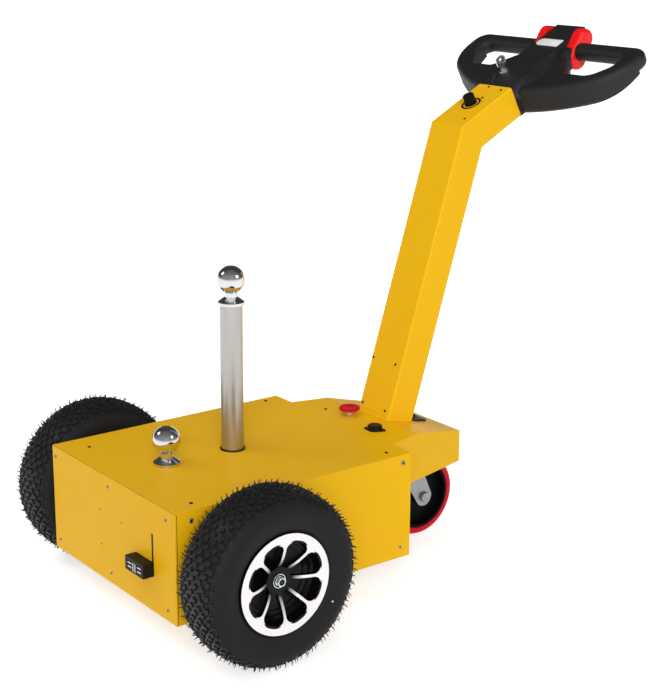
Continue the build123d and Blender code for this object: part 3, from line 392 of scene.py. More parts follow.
@dataclass(frozen=True)
class BrushedSteel:
    """Steel rubbed in one direction, with fine scratches that way."""

    name: str = "brushed_steel"
    colour: Colour = (0.51, 0.485, 0.46)
    rubbed: Colour = (0.43, 0.41, 0.39)
    roughness: float = 0.33
    spread: float = 0.22
    scratch: float = 0.03 * MM
    grain: Grain = Grain.ALONG_Z

    def build(self) -> bpy.types.Material:
        """Return the material."""
        sheet = Sheet(self.name)
        fine = sheet.noise(scale=1400.0, detail=3.0, vector=sheet.stretched(self.grain.value))
        broad = sheet.noise(scale=90.0, detail=2.0, vector=sheet.stretched(self.grain.value))
        return sheet.finish(
            Base_Color=sheet.mix(fine * 0.6 + broad * 0.4, self.colour, self.rubbed),
            Metallic=1.0,
            Roughness=fine * self.spread + (self.roughness - self.spread / 2),
            Normal=sheet.bump(fine, self.scratch, strength=0.6),
        )


@dataclass(frozen=True)
class ZincPlate:
    """Bright zinc plate: clouded, slightly blue-grey metal."""

    name: str = "bright_zinc"
    colour: Colour = (0.72, 0.73, 0.74)
    clouded: float = 0.78
    roughness: float = 0.26
    spread: float = 0.24
    grit: float = 0.02 * MM

    def build(self) -> bpy.types.Material:
        """Return the material."""
        sheet = Sheet(self.name)
        cloud = sheet.noise(scale=140.0, detail=4.0)
        grit = sheet.noise(scale=2200.0, detail=1.0)
        dull = tuple(share * self.clouded for share in self.colour)
        return sheet.finish(
            Base_Color=sheet.mix(cloud, self.colour, dull),
            Metallic=1.0,
            Roughness=cloud * self.spread + (self.roughness - self.spread / 3),
            Normal=sheet.bump(grit, self.grit, strength=0.5),
        )


@dataclass(frozen=True)
class Moulding:
    """Moulded plastic with a fine grain, matt or glossy."""

    name: str
    colour: Colour
    worn: Colour
    roughness: float
    coat: float = 0.0
    specular: float = 0.5
    grain: float = 0.06 * MM
    grain_scale: float = 1600.0
    cloud_spread: float = 0.12
    grain_spread: float = 0.08

    def build(self) -> bpy.types.Material:
        """Return the material."""
        sheet = Sheet(self.name)
        cloud = sheet.noise(scale=35.0, detail=3.0)
        grain = sheet.noise(scale=self.grain_scale, detail=2.0)
        smoothest = self.roughness - (self.cloud_spread + self.grain_spread) / 2
        return sheet.finish(
            Base_Color=sheet.mix(cloud, self.colour, self.worn),
            Roughness=cloud * self.cloud_spread + grain * self.grain_spread + smoothest,
            Specular_IOR_Level=self.specular,
            Coat_Weight=self.coat,
            Coat_Roughness=0.05,
            Normal=sheet.bump(grain, self.grain, strength=0.7),
        )


@dataclass(frozen=True)
class TyreRubber:
    """New tyre rubber: matt black, a little greyer on the sidewall than between the knobs, and lighter
    over the tread, where a highlight is painted into the colour.
    """

    centre: Vector
    colour: Colour = (0.008, 0.0075, 0.0075)
    # Colour of the grey patches and of the painted highlight over the tread.
    grey_and_highlight: Colour = (0.014, 0.013, 0.014)
    roughness: float = 0.62
    spread: float = 0.18
    tread: float = 134.0 * MM
    shoulder: float = 10.0 * MM
    outside: float = 151.0 * MM
    grain: float = 0.12 * MM

    def build(self) -> bpy.types.Material:
        """Return the material."""
        sheet = Sheet("tyre_rubber")
        _, _, radius = sheet.from_axle(self.centre)
        cloud = sheet.noise(scale=60.0, detail=4.0)
        grain = sheet.noise(scale=1300.0, detail=2.0)
        # 1 over the tread: a thicker coat, less roughness and a painted highlight that lightens the colour
        #                   there.
        worn = ((radius - self.tread) / self.shoulder).clipped()
        # Grey share: random patches, more grey towards the rim, and the painted highlight over the tread.
        grey_and_highlight_share = (cloud * 0.7 + (1.0 - radius / self.outside) * 0.9 + worn * 0.4).clipped()
        return sheet.finish(
            Base_Color=sheet.mix(grey_and_highlight_share, self.colour, self.grey_and_highlight),
            Specular_IOR_Level=0.16,
            Coat_Weight=worn * 0.22,
            Coat_Roughness=0.30,
            Roughness=cloud * self.spread + (self.roughness - self.spread / 3) - worn * 0.16,
            Normal=sheet.bump(grain, self.grain, strength=0.7),
        )


@dataclass(frozen=True)
class CutAluminium:
    """Wheel finish: ring and spoke crests turned bright, everything below them gloss black."""

    centre: Vector
    side: Side
    black: Colour = (0.004, 0.003, 0.004)
    turned: Colour = (0.80, 0.775, 0.80)
    ring_inner: float = 74.4 * MM
    ring_outer: float = 85.9 * MM
    face: float = 48.0 * MM
    face_depth: float = 1.2 * MM
    dish: float = 20.0 * MM
    middle: float = 6.4 * MM
    barrel: float = 71.0 * MM
    hub: float = 23.0 * MM
    crest_depth: float = 0.5 * MM
    crest_starts: float = 25.0 * MM
    crest_fades: float = 16.0 * MM
    spokes: int = 8
    arc_half: float = 18.0 * MM
    arc_fall: float = 3.9 * MM
    tool_marks: float = 9000.0
    mark_depth: float = 0.01 * MM
    edge_short: float = 0.8 * MM

    def crest_arc(self) -> tuple[float, float, float]:
        """Return the centre (axial, radial) and the radius of the arc that the spoke crests follow."""
        a = Vector((self.face, self.barrel))
        b = Vector((self.face - self.middle, (self.barrel + self.hub) / 2))
        c = Vector((self.face - self.dish, self.hub))
        turn = 2 * (a.x * (b.y - c.y) + b.x * (c.y - a.y) + c.x * (a.y - b.y))
        one, two, three = a.length_squared, b.length_squared, c.length_squared
        axial = (one * (b.y - c.y) + two * (c.y - a.y) + three * (a.y - b.y)) / turn
        radial = (one * (c.x - b.x) + two * (a.x - c.x) + three * (b.x - a.x)) / turn
        return axial, radial, math.hypot(a.x - axial, a.y - radial)

    def _on_crest(self, out: Wire, radius: Wire) -> Wire:
        """Mark the crests of the spokes.

        Args:
            out: distance outwards from the wheel's middle.
            radius: distance from the axle.

        Returns:
            1 on a crest, less towards the hub, and 0 elsewhere.
        """
        axial, radial, arc = self.crest_arc()
        from_centre = ((out - axial) * (out - axial) + (radius - radial) * (radius - radial)).root()
        band = (from_centre > arc - self.crest_depth) * (from_centre < arc + self.crest_depth)
        inside = radius < self.barrel - self.edge_short
        return (band * inside * ((radius - self.crest_starts) / self.crest_fades)).clipped()

    def _over_pockets(self, across: Wire, up: Wire, radius: Wire) -> Wire:
        """Mark the arcs of the face that the black of the pockets reaches over.

        Args:
            across: place along y, from the axle.
            up: place along z, from the axle.
            radius: distance from the axle.

        Returns:
            1 on an arc, else 0.
        """
        arcs = across * 0.0
        for number in range(self.spokes // 2):
            angle = 2 * math.pi * (number + 0.5) / self.spokes
            off = (across * math.sin(angle) - up * math.cos(angle)) / self.arc_half
            arcs = arcs + (radius < self.ring_inner - off * off * off * off * self.arc_fall)
        return arcs.clipped()

    def build(self) -> bpy.types.Material:
        """Return the material."""
        sheet = Sheet(f"cut_aluminium_{self.side.value}")
        across, up, radius = sheet.from_axle(self.centre)
        out = (sheet.x - self.centre.x) * float(self.side.sign)
        on_ring = (radius > self.barrel - 1.0 * MM) * (radius < self.ring_outer)
        on_face = (out > self.face - self.face_depth) * on_ring
        on_face = on_face * (1.0 - self._over_pockets(across, up, radius))
        bright = (self._on_crest(out, radius) + on_face).clipped()
        marks = (radius * self.tool_marks).sine() * 0.5 + 0.5
        cloud = sheet.noise(scale=120.0, detail=3.0)
        return sheet.finish(
            Base_Color=sheet.mix(bright, self.black, self.turned),
            Metallic=bright,
            Specular_IOR_Level=0.12,
            Roughness=0.26 + bright * (0.10 + cloud * 0.10),
            Coat_Weight=0.05,
            Coat_Roughness=0.05,
            Normal=sheet.bump(marks * bright, self.mark_depth, strength=0.4),
        )


@dataclass(frozen=True)
class AxleBolt:
    """Blackened bolt and washer whose edges shine."""

    centre: Vector
    side: Side
    black: Colour = (0.012, 0.013, 0.014)
    shiny: Colour = (0.74, 0.78, 0.80)
    socket: float = 5.7 * MM
    head: float = 8.2 * MM
    edge: float = 10.9 * MM

    def build(self) -> bpy.types.Material:
        """Return the material."""
        sheet = Sheet(f"axle_bolt_{self.side.value}")
        _, _, radius = sheet.from_axle(self.centre)
        shine = ((radius > self.socket) * (radius < self.head) + (radius > self.edge)).clipped()
        cloud = sheet.noise(scale=300.0, detail=3.0)
        return sheet.finish(
            Base_Color=sheet.mix(shine, self.black, self.shiny),
            Metallic=0.2 + shine * 0.8,
            Roughness=cloud * 0.14 + 0.18,
            Specular_IOR_Level=0.2,
        )


@dataclass(frozen=True)
class CasterCore:
    """Black core of the caster wheel, with the red of its tread moulded over the rim."""

    centre: Vector
    radius: float
    black: Colour = (0.003, 0.003, 0.003)
    red: Colour = (0.56, 0.006, 0.016)
    overlap: float = 2.4 * MM

    def build(self) -> bpy.types.Material:
        """Return the material."""
        sheet = Sheet("caster_core_black")
        _, _, radius = sheet.from_axle(self.centre)
        moulded_over = radius > self.radius - self.overlap
        cloud = sheet.noise(scale=40.0, detail=3.0)
        return sheet.finish(
            Base_Color=sheet.mix(moulded_over, self.black, self.red),
            Specular_IOR_Level=0.05,
            Roughness=cloud * 0.12 + 0.36,
        )


class Palette:
    """Finishes that several pieces share, each built once."""

    def __init__(self) -> None:
        """Build the materials."""
        self.paint = PowderCoat().build()
        self.chrome = Chrome().build()
        self.zinc = ZincPlate().build()
        self.dark_screw = ZincPlate("dark_screw", (0.50, 0.50, 0.50)).build()
        self.caster_zinc = ZincPlate("caster_zinc", (0.33, 0.34, 0.35), roughness=0.34).build()
        self.post = BrushedSteel().build()
        self.axle = BrushedSteel(
            "axle_steel", (0.42, 0.42, 0.43), roughness=0.42, grain=Grain.ALONG_X
        ).build()
        self.black = Moulding(
            "black_moulding", (0.006, 0.006, 0.006), (0.010, 0.010, 0.010), 0.42, specular=0.13
        ).build()
        self.handle = Moulding(
            "handle_moulding", (0.009, 0.009, 0.010), (0.015, 0.015, 0.016), 0.52, specular=0.32
        ).build()
        self.gloss_black = Moulding(
            "gloss_black",
            (0.003, 0.003, 0.003),
            (0.005, 0.005, 0.005),
            0.22,
            specular=0.14,
            grain=0.01 * MM,
        ).build()
        self.red = Moulding(
            "gloss_red", (0.90, 0.009, 0.008), (0.82, 0.007, 0.007), 0.24, coat=0.25, specular=0.2
        ).build()
        self.stop_red = Moulding(
            "stop_red", (0.56, 0.003, 0.012), (0.48, 0.002, 0.010), 0.30, coat=0.05, specular=0.07
        ).build()
        self.tread_red = Moulding(
            "red_polyurethane", (0.60, 0.008, 0.020), (0.50, 0.006, 0.018), 0.40, specular=0.15
        ).build()
        self.satin = Moulding(
            "satin_label", (0.80, 0.80, 0.79), (0.74, 0.74, 0.73), 0.40, specular=0.3
        ).build()
        self.battery = Moulding("battery_case", (0.02, 0.02, 0.022), (0.03, 0.03, 0.032), 0.5).build()


# Bench: modelling steps that every piece uses


class Bench:
    """Edit-mode steps on one piece at a time."""

    @staticmethod
    def clear() -> None:
        """Deselect everything, the loaded nodes too."""
        bpy.ops.object.select_all(action="DESELECT")

    @staticmethod
    def pick(piece: bpy.types.Object) -> None:
        """Select one piece alone and make it the active one."""
        Bench.clear()
        piece.select_set(True)
        bpy.context.view_layer.objects.active = piece

    @staticmethod
    def adopt(name: str) -> bpy.types.Object:
        """Name the primitive just added.

        Args:
            name: the piece's name.

        Returns:
            The piece.
        """
        piece = bpy.context.object
        piece.name = name
        piece.data.name = name
        return piece

    @staticmethod
    def block(name: str, size: Sequence[float]) -> bpy.types.Object:
        """Add a block centred on the origin.

        Args:
            name: the piece's name.
            size: its length along x, y and z.

        Returns:
            The piece.
        """
        Bench.clear()
        bpy.ops.mesh.primitive_cube_add(size=1.0)
        piece = Bench.adopt(name)
        piece.scale = size
        Bench.settle(piece)
        return piece

    @staticmethod
    def rod(name: str, radius: float, length: float, sides: int = 32) -> bpy.types.Object:
        """Add a rod that stands on the origin along z.

        Args:
            name: the piece's name.
            radius: its radius.
            length: its length.
            sides: flats around it.

        Returns:
            The piece.
        """
        Bench.clear()
        bpy.ops.mesh.primitive_cylinder_add(
            vertices=sides, radius=radius, depth=length, location=(0, 0, length / 2)
        )
        piece = Bench.adopt(name)
        Bench.settle(piece)
        return piece

    @staticmethod
    def settle(piece: bpy.types.Object, place: Matrix | None = None) -> None:
        """Put a piece's place in its mesh and leave the object at the origin.

        Args:
            piece: the piece.
            place: where it goes, or None to keep its own place.
        """
        Bench.pick(piece)
        if place is not None:
            piece.matrix_world = place @ piece.matrix_world
        bpy.context.view_layer.update()
        bpy.ops.object.transform_apply(location=True, rotation=True, scale=True)

    @staticmethod
    def edit(piece: bpy.types.Object, mode: str = "FACE") -> None:
        """Enter edit mode with nothing selected.

        Args:
            piece: the piece.
            mode: VERT, EDGE or FACE.
        """
        Bench.pick(piece)
        bpy.ops.object.mode_set(mode="EDIT")
        bpy.ops.mesh.select_mode(type=mode)
        bpy.ops.mesh.select_all(action="DESELECT")

    @staticmethod
    def done() -> None:
        """Leave edit mode."""
        bpy.ops.object.mode_set(mode="OBJECT")

    @staticmethod
    def pick_faces(piece: bpy.types.Object, test: Callable[[bmesh.types.BMFace], bool]) -> None:
        """Select the faces that pass a test, in edit mode.

        Args:
            piece: the piece being edited.
            test: says whether a face is wanted.
        """
        mesh = bmesh.from_edit_mesh(piece.data)
        for face in mesh.faces:
            face.select_set(bool(test(face)))
        mesh.select_flush_mode()
        bmesh.update_edit_mesh(piece.data)

    @staticmethod
    def pick_edges(piece: bpy.types.Object, test: Callable[[bmesh.types.BMEdge], bool]) -> None:
        """Select the edges that pass a test, in edit mode.

        Args:
            piece: the piece being edited.
            test: says whether an edge is wanted.
        """
        mesh = bmesh.from_edit_mesh(piece.data)
        for edge in mesh.edges:
            edge.select_set(bool(test(edge)))
        bmesh.update_edit_mesh(piece.data)

    @staticmethod
    def lathe(name: str, profile: Sequence[tuple[float, float]], steps: int) -> bpy.types.Object:
        """Spin a half section about the x axis.

        Args:
            name: the piece's name.
            profile: axial and radial places, in order along the section.
            steps: steps around.

        Returns:
            The piece, its doubles merged and its faces pointing outwards.
        """
        Bench.clear()
        bpy.ops.mesh.primitive_plane_add(size=MM)
        piece = Bench.adopt(name)
        Bench.edit(piece, "VERT")
        bpy.ops.mesh.select_all(action="SELECT")
        bpy.ops.mesh.merge(type="CENTER")
        bpy.ops.transform.translate(value=(profile[0][0], 0.0, profile[0][1]))
        for start, end in zip(profile, profile[1:]):
            step = (end[0] - start[0], 0.0, end[1] - start[1])
            bpy.ops.mesh.extrude_region_move(TRANSFORM_OT_translate={"value": step})
        bpy.ops.mesh.select_all(action="SELECT")
        bpy.ops.mesh.spin(steps=steps, angle=2 * math.pi, center=(0, 0, 0), axis=(1, 0, 0))
        bpy.ops.mesh.select_all(action="SELECT")
        bpy.ops.mesh.remove_doubles(threshold=0.001 * MM)
        bpy.ops.mesh.normals_make_consistent(inside=False)
        Bench.done()
        return piece

    @staticmethod
    def copy(piece: bpy.types.Object, place: Matrix) -> bpy.types.Object:
        """Copy a piece with its own mesh.

        Args:
            piece: what is copied.
            place: where the copy goes, from the piece's own place.

        Returns:
            The copy.
        """
        twin = piece.copy()
        twin.data = piece.data.copy()
        bpy.context.scene.collection.objects.link(twin)
        twin.matrix_world = place @ piece.matrix_world
        return twin

    @staticmethod
    def scrap(piece: bpy.types.Object) -> None:
        """Remove a master that has been copied."""
        mesh = piece.data
        bpy.data.objects.remove(piece)
        bpy.data.meshes.remove(mesh)

    @staticmethod
    def join(name: str, parts: Sequence[bpy.types.Object]) -> bpy.types.Object:
        """Join parts into one piece at the origin.

        Args:
            name: the piece's name.
            parts: what is joined.

        Returns:
            The piece.
        """
        Bench.clear()
        for part in parts:
            part.select_set(True)
        bpy.context.view_layer.objects.active = parts[0]
        bpy.ops.object.join()
        piece = Bench.adopt(name)
        Bench.settle(piece)
        return piece

    @staticmethod
    def smooth(piece: bpy.types.Object, degrees: float = 35.0) -> None:
        """Shade a piece smooth except at its sharp edges."""
        Bench.pick(piece)
        bpy.ops.object.shade_smooth_by_angle(angle=math.radians(degrees))

    @staticmethod
    def soften(piece: bpy.types.Object, width: float, segments: int = 2, degrees: float = 40.0) -> None:
        """Round a piece's sharp edges and apply it.

        Args:
            piece: the piece.
            width: how wide the rounding is.
            segments: flats in each rounding.
            degrees: edges sharper than this are rounded.
        """
        Bench.pick(piece)
        bevel = piece.modifiers.new("rounding", "BEVEL")
        bevel.width = width
        bevel.segments = segments
        bevel.limit_method = "ANGLE"
        bevel.angle_limit = math.radians(degrees)
        bpy.ops.object.modifier_apply(modifier=bevel.name)

    @staticmethod
    def dress(
        piece: bpy.types.Object,
        material: bpy.types.Material,
        body: str,
        slot: str,
        replaces: Sequence[str] = (),
    ) -> None:
        """Give a finished piece its material and body.

        Args:
            piece: the piece.
            material: its finish.
            body: the body that it moves with.
            slot: a material slot's name; not used.
            replaces: nodes that it stands for.
        """
        piece.data.materials.clear()
        piece.data.materials.append(material)
        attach(piece, body)
        if replaces:
            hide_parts(*replaces)
        LOG.info("piece %s: %d faces", piece.name, len(piece.data.polygons))


def facing(place: Vector, outwards: Vector) -> Matrix:
    """Find the matrix that stands a piece, built along z, on a surface.

    Args:
        place: the point on the surface.
        outwards: the surface's normal.

    Returns:
        The matrix.
    """
    rotation = outwards.normalized().to_track_quat("Z", "Y").to_matrix().to_4x4()
    return Matrix.Translation(place) @ rotation


# The loaded solids


def box_middle(node: str) -> Vector:
    """Return the middle of a node's box."""
    low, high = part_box(node)
    return (low + high) / 2


@dataclass
class Machine:
    """The loaded nodes, and the places that the small pieces are set out from."""

    nodes: dict[str, bpy.types.Object]
    rise: float = math.radians(28.0)
    lean: float = math.radians(17.3)
    neck_depth: float = 62.0 * MM
    front_y: float = field(init=False)
    deck_z: float = field(init=False)
    half_width: float = field(init=False)
    neck_end: Vector = field(init=False)
    column_foot: Vector = field(init=False)

    def __post_init__(self) -> None:
        """Read the boxes of the nodes."""
        low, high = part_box("front_panel")
        self.front_y = low.y
        self.deck_z = high.z
        self.half_width = high.x
        low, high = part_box("column_neck")
        self.neck_end = Vector((0.0, high.y - self.neck_depth * math.sin(self.rise), high.z))
        low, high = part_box("column_lower")
        self.column_foot = Vector((0.0, low.y, self.deck_z))

    def dress(self, material: bpy.types.Material, *names: str) -> None:
        """Give loaded nodes their finish.

        Args:
            material: the finish.
            names: the nodes' names.
        """
        for name in names:
            node = self.nodes[name]
            if not node.material_slots:
                node.data.materials.append(material)
            for slot in node.material_slots:
                slot.material = material
            LOG.info("node %s: %s", name, material.name)

    def deck(self, x: float, back: float, up: float = 0.0) -> Vector:
        """Return a point over the deck, from the middle of its front edge."""
        return Vector((x, self.front_y + back, self.deck_z + up))

    def head(self, x: float, s: float, h: float) -> Vector:
        """Return a point in the head's frame: across, away from the column, square to its top."""
        along = Vector((0.0, math.cos(self.rise), math.sin(self.rise)))
        return self.neck_end + Vector((x, 0.0, 0.0)) + along * s + self.head_up() * h

    def head_up(self) -> Vector:
        """Return the normal of the head's top."""
        return Vector((0.0, -math.sin(self.rise), math.cos(self.rise)))

    def column(self, x: float, along: float) -> Vector:
        """Return a point on the column's front face, measured up from the deck."""
        run = Vector((0.0, math.sin(self.lean), math.cos(self.lean)))
        return self.column_foot + Vector((x, 0.0, 0.0)) + run * along

    def column_out(self) -> Vector:
        """Return the normal of the column's front face."""
        return Vector((0.0, -math.cos(self.lean), math.sin(self.lean)))


# Drive wheels


@dataclass(frozen=True)
class Knob:
    """One rubber block of the tread, in millimetres and degrees."""

    x: float
    along: float
    width: float
    length: float
    height: float
    radius: float
    tilt: float
    turn: float


@dataclass(frozen=True)
class Hair:
    """One moulding hair of the tread, in millimetres and degrees."""

    x: float
    along: float
    radius: float
    tilt: float
    sweep: float
    length: float


@dataclass
class DriveTyre:
    """Knobbly drive tyre: carcass, rows of knobs and the hairs left by its mould.

    Its sizes are in millimetres and degrees, but a master's own are in parts of its unit size.
    """

    side: Side
    pitches: int = 42
    steps: int = 126
    bead_x: float = 42.6
    bead_radius: float = 87.2
    seat_radius: float = 74.4
    pitch_radius: float = 148.0
    knob_root: float = 1.2
    knob_top: float = 0.86
    knob_edge: float = 0.11
    knob_rim: float = 0.16
    knob_dish: float = 0.10
    hair_root: float = 1.0
    hair_thickness: float = 0.095
    hair_joint: float = 0.55
    hair_tip: float = 0.62
    hair_bend: tuple[float, float, float] = (0.0, 0.20, -0.03)
    pitch_phase: float = 2.4
    hair_phase: float = 1.7
    tilt_varies: float = 6.0
    sweep_varies: float = 9.0
    length_varies: float = 1.0
    pressed_tilt: float = 68.0
    limit: float = 150.0
    crease: float = 38.0
    profile: tuple[tuple[float, float], ...] = (
        (44.5, 89.5),
        (46.2, 91.2),
        (46.4, 94.0),
        (48.6, 99.0),
        (50.9, 106.5),
        (51.9, 114.5),
        (51.5, 122.5),
        (49.6, 129.5),
        (46.4, 135.2),
        (42.0, 139.2),
        (35.0, 142.5),
        (25.0, 145.2),
        (12.0, 146.9),
        (0.0, 147.4),
    )
    hollow: tuple[tuple[float, float], ...] = (
        (34.6, 74.4),
        (34.6, 90.0),
        (43.0, 112.0),
        (42.0, 130.0),
        (34.0, 137.0),
        (0.0, 139.0),
    )
    knobs: tuple[Knob, ...] = (
        Knob(0.0, 0.0, 8.6, 8.0, 3.4, 147.3, 0.0, 12.0),
        Knob(9.6, 11.0, 7.6, 8.4, 3.4, 147.1, 3.0, -14.0),
        Knob(-9.6, 11.0, 7.6, 8.4, 3.4, 147.1, -3.0, 14.0),
        Knob(18.6, 0.0, 7.8, 8.6, 3.4, 146.2, 9.0, 10.0),
        Knob(-18.6, 0.0, 7.8, 8.6, 3.4, 146.2, -9.0, -10.0),
        Knob(27.6, 11.0, 7.6, 8.2, 3.4, 144.6, 15.0, -10.0),
        Knob(-27.6, 11.0, 7.6, 8.2, 3.4, 144.6, -15.0, 10.0),
        Knob(35.8, 0.5, 7.4, 9.4, 3.2, 142.2, 25.0, 4.0),
        Knob(-35.8, 0.5, 7.4, 9.4, 3.2, 142.2, -25.0, -4.0),
        Knob(43.0, 11.0, 6.6, 8.0, 2.3, 138.2, 44.0, 0.0),
        Knob(-43.0, 11.0, 6.6, 8.0, 2.3, 138.2, -44.0, 0.0),
    )
    hairs: tuple[Hair, ...] = (
        Hair(4.8, 5.5, 147.0, 4.0, 12.0, 10.5),
        Hair(-14.0, -3.0, 146.6, -8.0, -10.0, 10.5),
        Hair(20.0, 4.0, 145.8, 12.0, 10.0, 10.5),
        Hair(-22.0, 8.0, 145.4, -14.0, 12.0, 10.5),
        Hair(29.0, -5.0, 144.0, 20.0, -12.0, 10.5),
        Hair(-33.0, -8.0, 142.8, -22.0, -10.0, 10.5),
        Hair(37.0, 6.0, 141.4, 28.0, 12.0, 10.0),
        Hair(38.5, -5.0, 140.8, 30.0, -8.0, 10.0),
        Hair(-39.6, -2.0, 140.2, -34.0, -10.0, 10.0),
        Hair(43.6, 0.5, 137.6, 40.0, -8.0, 10.0),
        Hair(-44.6, 5.0, 137.0, -44.0, 10.0, 10.0),
    )

    def _master_knob(self) -> bpy.types.Object:
        """Model one tread block: tapered, its top edges rounded, its top slightly dished.

        Returns:
            A block of unit size that stands on the origin.
        """
        knob = Bench.block("knob", (1.0, 1.0, 1.0))
        Bench.settle(knob, Matrix.Translation((0.0, 0.0, 0.5)))
        Bench.edit(knob)
        Bench.pick_faces(knob, lambda face: face.normal.z < -FACES_UP)
        bpy.ops.mesh.delete(type="ONLY_FACE")
        Bench.pick_faces(knob, lambda face: face.normal.z > FACES_UP)
        bpy.ops.transform.resize(value=(self.knob_top, self.knob_top, 1.0))
        bpy.ops.mesh.bevel(offset=self.knob_edge, segments=1, affect="EDGES")
        Bench.pick_faces(knob, lambda face: face.normal.z > LIES_FLAT)
        bpy.ops.mesh.inset(thickness=self.knob_rim)
        bpy.ops.transform.translate(value=(0.0, 0.0, -self.knob_dish))
        Bench.done()
        return knob

    def _master_hair(self) -> bpy.types.Object:
        """Model one moulding hair: thin, tapered and slightly bent.

        Returns:
            A hair of unit length that stands on the origin.
        """
        hair = Bench.rod("hair", self.hair_thickness, 1.0, sides=5)
        Bench.edit(hair)
        bpy.ops.mesh.select_all(action="SELECT")
        bpy.ops.mesh.bisect(plane_co=(0.0, 0.0, self.hair_joint), plane_no=(0.0, 0.0, 1.0))
        Bench.pick_faces(hair, lambda face: face.normal.z < -FACES_UP)
        bpy.ops.mesh.delete(type="ONLY_FACE")
        Bench.pick_faces(hair, lambda face: face.normal.z > FACES_UP)
        bpy.ops.transform.resize(value=(self.hair_tip, self.hair_tip, 1.0))
        bpy.ops.transform.translate(value=self.hair_bend)
        Bench.done()
        return hair

    def _on_tread(self, x: float, along: float, radius: float, tilt: float, turn: float) -> Matrix:
        """Find a place on the tread above the axle.

        Args:
            x: distance from the tyre's middle, in millimetres.
            along: distance along the tread, in millimetres.
            radius: distance from the axle, in millimetres.
            tilt: lean towards +x, in degrees.
            turn: turn about the block's own axis, in degrees.

        Returns:
            The matrix.
        """
        return (
            Matrix.Rotation(along / self.pitch_radius, 4, "X")
            @ Matrix.Translation((x * MM, 0.0, radius * MM))
            @ Matrix.Rotation(math.radians(tilt), 4, "Y")
            @ Matrix.Rotation(math.radians(turn), 4, "Z")
        )

    def _pitch(self, name: str) -> bpy.types.Object:
        """Model one pitch of the tread, with the blocks of every row.

        Args:
            name: the piece's name.

        Returns:
            The pitch, above the axle.
        """
        master = self._master_knob()
        parts = []
        rooted = Matrix.Translation((0.0, 0.0, -self.knob_root * MM))
        for knob in self.knobs:
            tall = knob.height + self.knob_root
            size = Matrix.Diagonal((knob.width * MM, knob.length * MM, tall * MM, 1.0))
            place = self._on_tread(knob.x, knob.along, knob.radius, knob.tilt, knob.turn)
            parts.append(Bench.copy(master, place @ rooted @ size))
        Bench.scrap(master)
        return Bench.join(name, parts)

    def _hair_row(self, angle: float, index: int, master: bpy.types.Object) -> list[bpy.types.Object]:
        """Set out one pitch's hairs, pressed sideways where the tyre meets the floor or faces forwards.

        Args:
            angle: the pitch's turn about the axle, from straight up.
            index: the pitch's number, which varies the hairs.
            master: the hair that is copied.

        Returns:
            The hairs.
        """
        hairs = []
        for number, hair in enumerate(self.hairs):
            vary = math.sin(index * self.pitch_phase + number * self.hair_phase)
            centre = angle + hair.along / self.pitch_radius
            front = abs((centre - math.pi / 2 + math.pi) % (2 * math.pi) - math.pi)
            floor = abs(centre % (2 * math.pi) - math.pi)
            tilt = hair.tilt + self.tilt_varies * vary
            length = hair.length + self.length_varies * vary
            radius = hair.radius - self.hair_root
            reach = radius + length * math.cos(math.radians(tilt))
            if reach * math.cos(min(front, floor)) > self.limit:
                tilt = math.copysign(self.pressed_tilt, hair.tilt)
            place = self._on_tread(hair.x, 0.0, radius, tilt, 0.0)
            sweep = Matrix.Rotation(math.radians(hair.sweep + self.sweep_varies * vary), 4, "X")
            size = Matrix.Diagonal((length * MM,) * 3 + (1.0,))
            hairs.append(Bench.copy(master, Matrix.Rotation(centre, 4, "X") @ place @ sweep @ size))
        return hairs

    def _carcass(self) -> bpy.types.Object:
        """Spin the carcass: sidewalls with a rim ridge, a crowned tread and the hollow inside.

        Returns:
            The carcass, on the x axis.
        """
        bead = [(self.bead_x, self.seat_radius), (self.bead_x, self.bead_radius)]
        outer = bead + list(self.profile)
        half = outer + [(-x, radius) for x, radius in reversed(outer[:-1])]
        hollow = [(-x, radius) for x, radius in self.hollow[:-1]] + list(reversed(self.hollow))
        section = [(x * MM, radius * MM) for x, radius in half + hollow + bead[:1]]
        return Bench.lathe("carcass", section, self.steps)

    def build(self) -> None:
        """Model and dress the tyre."""
        node = f"tyre_{self.side.value}"
        centre = box_middle(node)
        pitch = self._pitch("pitch")
        hair = self._master_hair()
        parts = [self._carcass()]
        for index in range(self.pitches):
            angle = 2 * math.pi * index / self.pitches
            parts.append(Bench.copy(pitch, Matrix.Rotation(angle, 4, "X")))
            parts.extend(self._hair_row(angle, index, hair))
        Bench.scrap(pitch)
        Bench.scrap(hair)
        tyre = Bench.join(f"knobbly_tyre_{self.side.value}", parts)
        Bench.settle(tyre, Matrix.Translation(centre))
        Bench.smooth(tyre, self.crease)
        material = TyreRubber(centre).build()
        Bench.dress(tyre, material, f"wheel_{self.side.value}", "tyre", [node])


@dataclass
class RimWeb:
    """Black stepped web that closes the wheel behind its spokes, its section in millimetres."""

    side: Side
    material: bpy.types.Material
    steps: int = 72
    crease: float = 30.0
    profile: tuple[tuple[float, float], ...] = (
        (30.0, 70.6),
        (26.0, 70.2),
        (22.5, 67.6),
        (21.6, 64.6),
        (19.0, 63.8),
        (17.4, 60.6),
        (16.6, 57.0),
        (14.0, 56.2),
        (12.6, 52.0),
        (10.0, 40.0),
        (9.0, 23.4),
        (6.0, 23.4),
        (6.0, 52.0),
        (10.0, 64.0),
        (20.0, 70.9),
        (30.0, 70.6),
    )

    def build(self) -> None:
        """Spin and dress the web."""
        section = [(self.side.sign * x * MM, radius * MM) for x, radius in self.profile]
        web = Bench.lathe(f"rim_web_{self.side.value}", section, self.steps)
        Bench.settle(web, Matrix.Translation(box_middle(f"tyre_{self.side.value}")))
        Bench.smooth(web, self.crease)
        Bench.dress(web, self.material, f"wheel_{self.side.value}", "rim_aluminium")


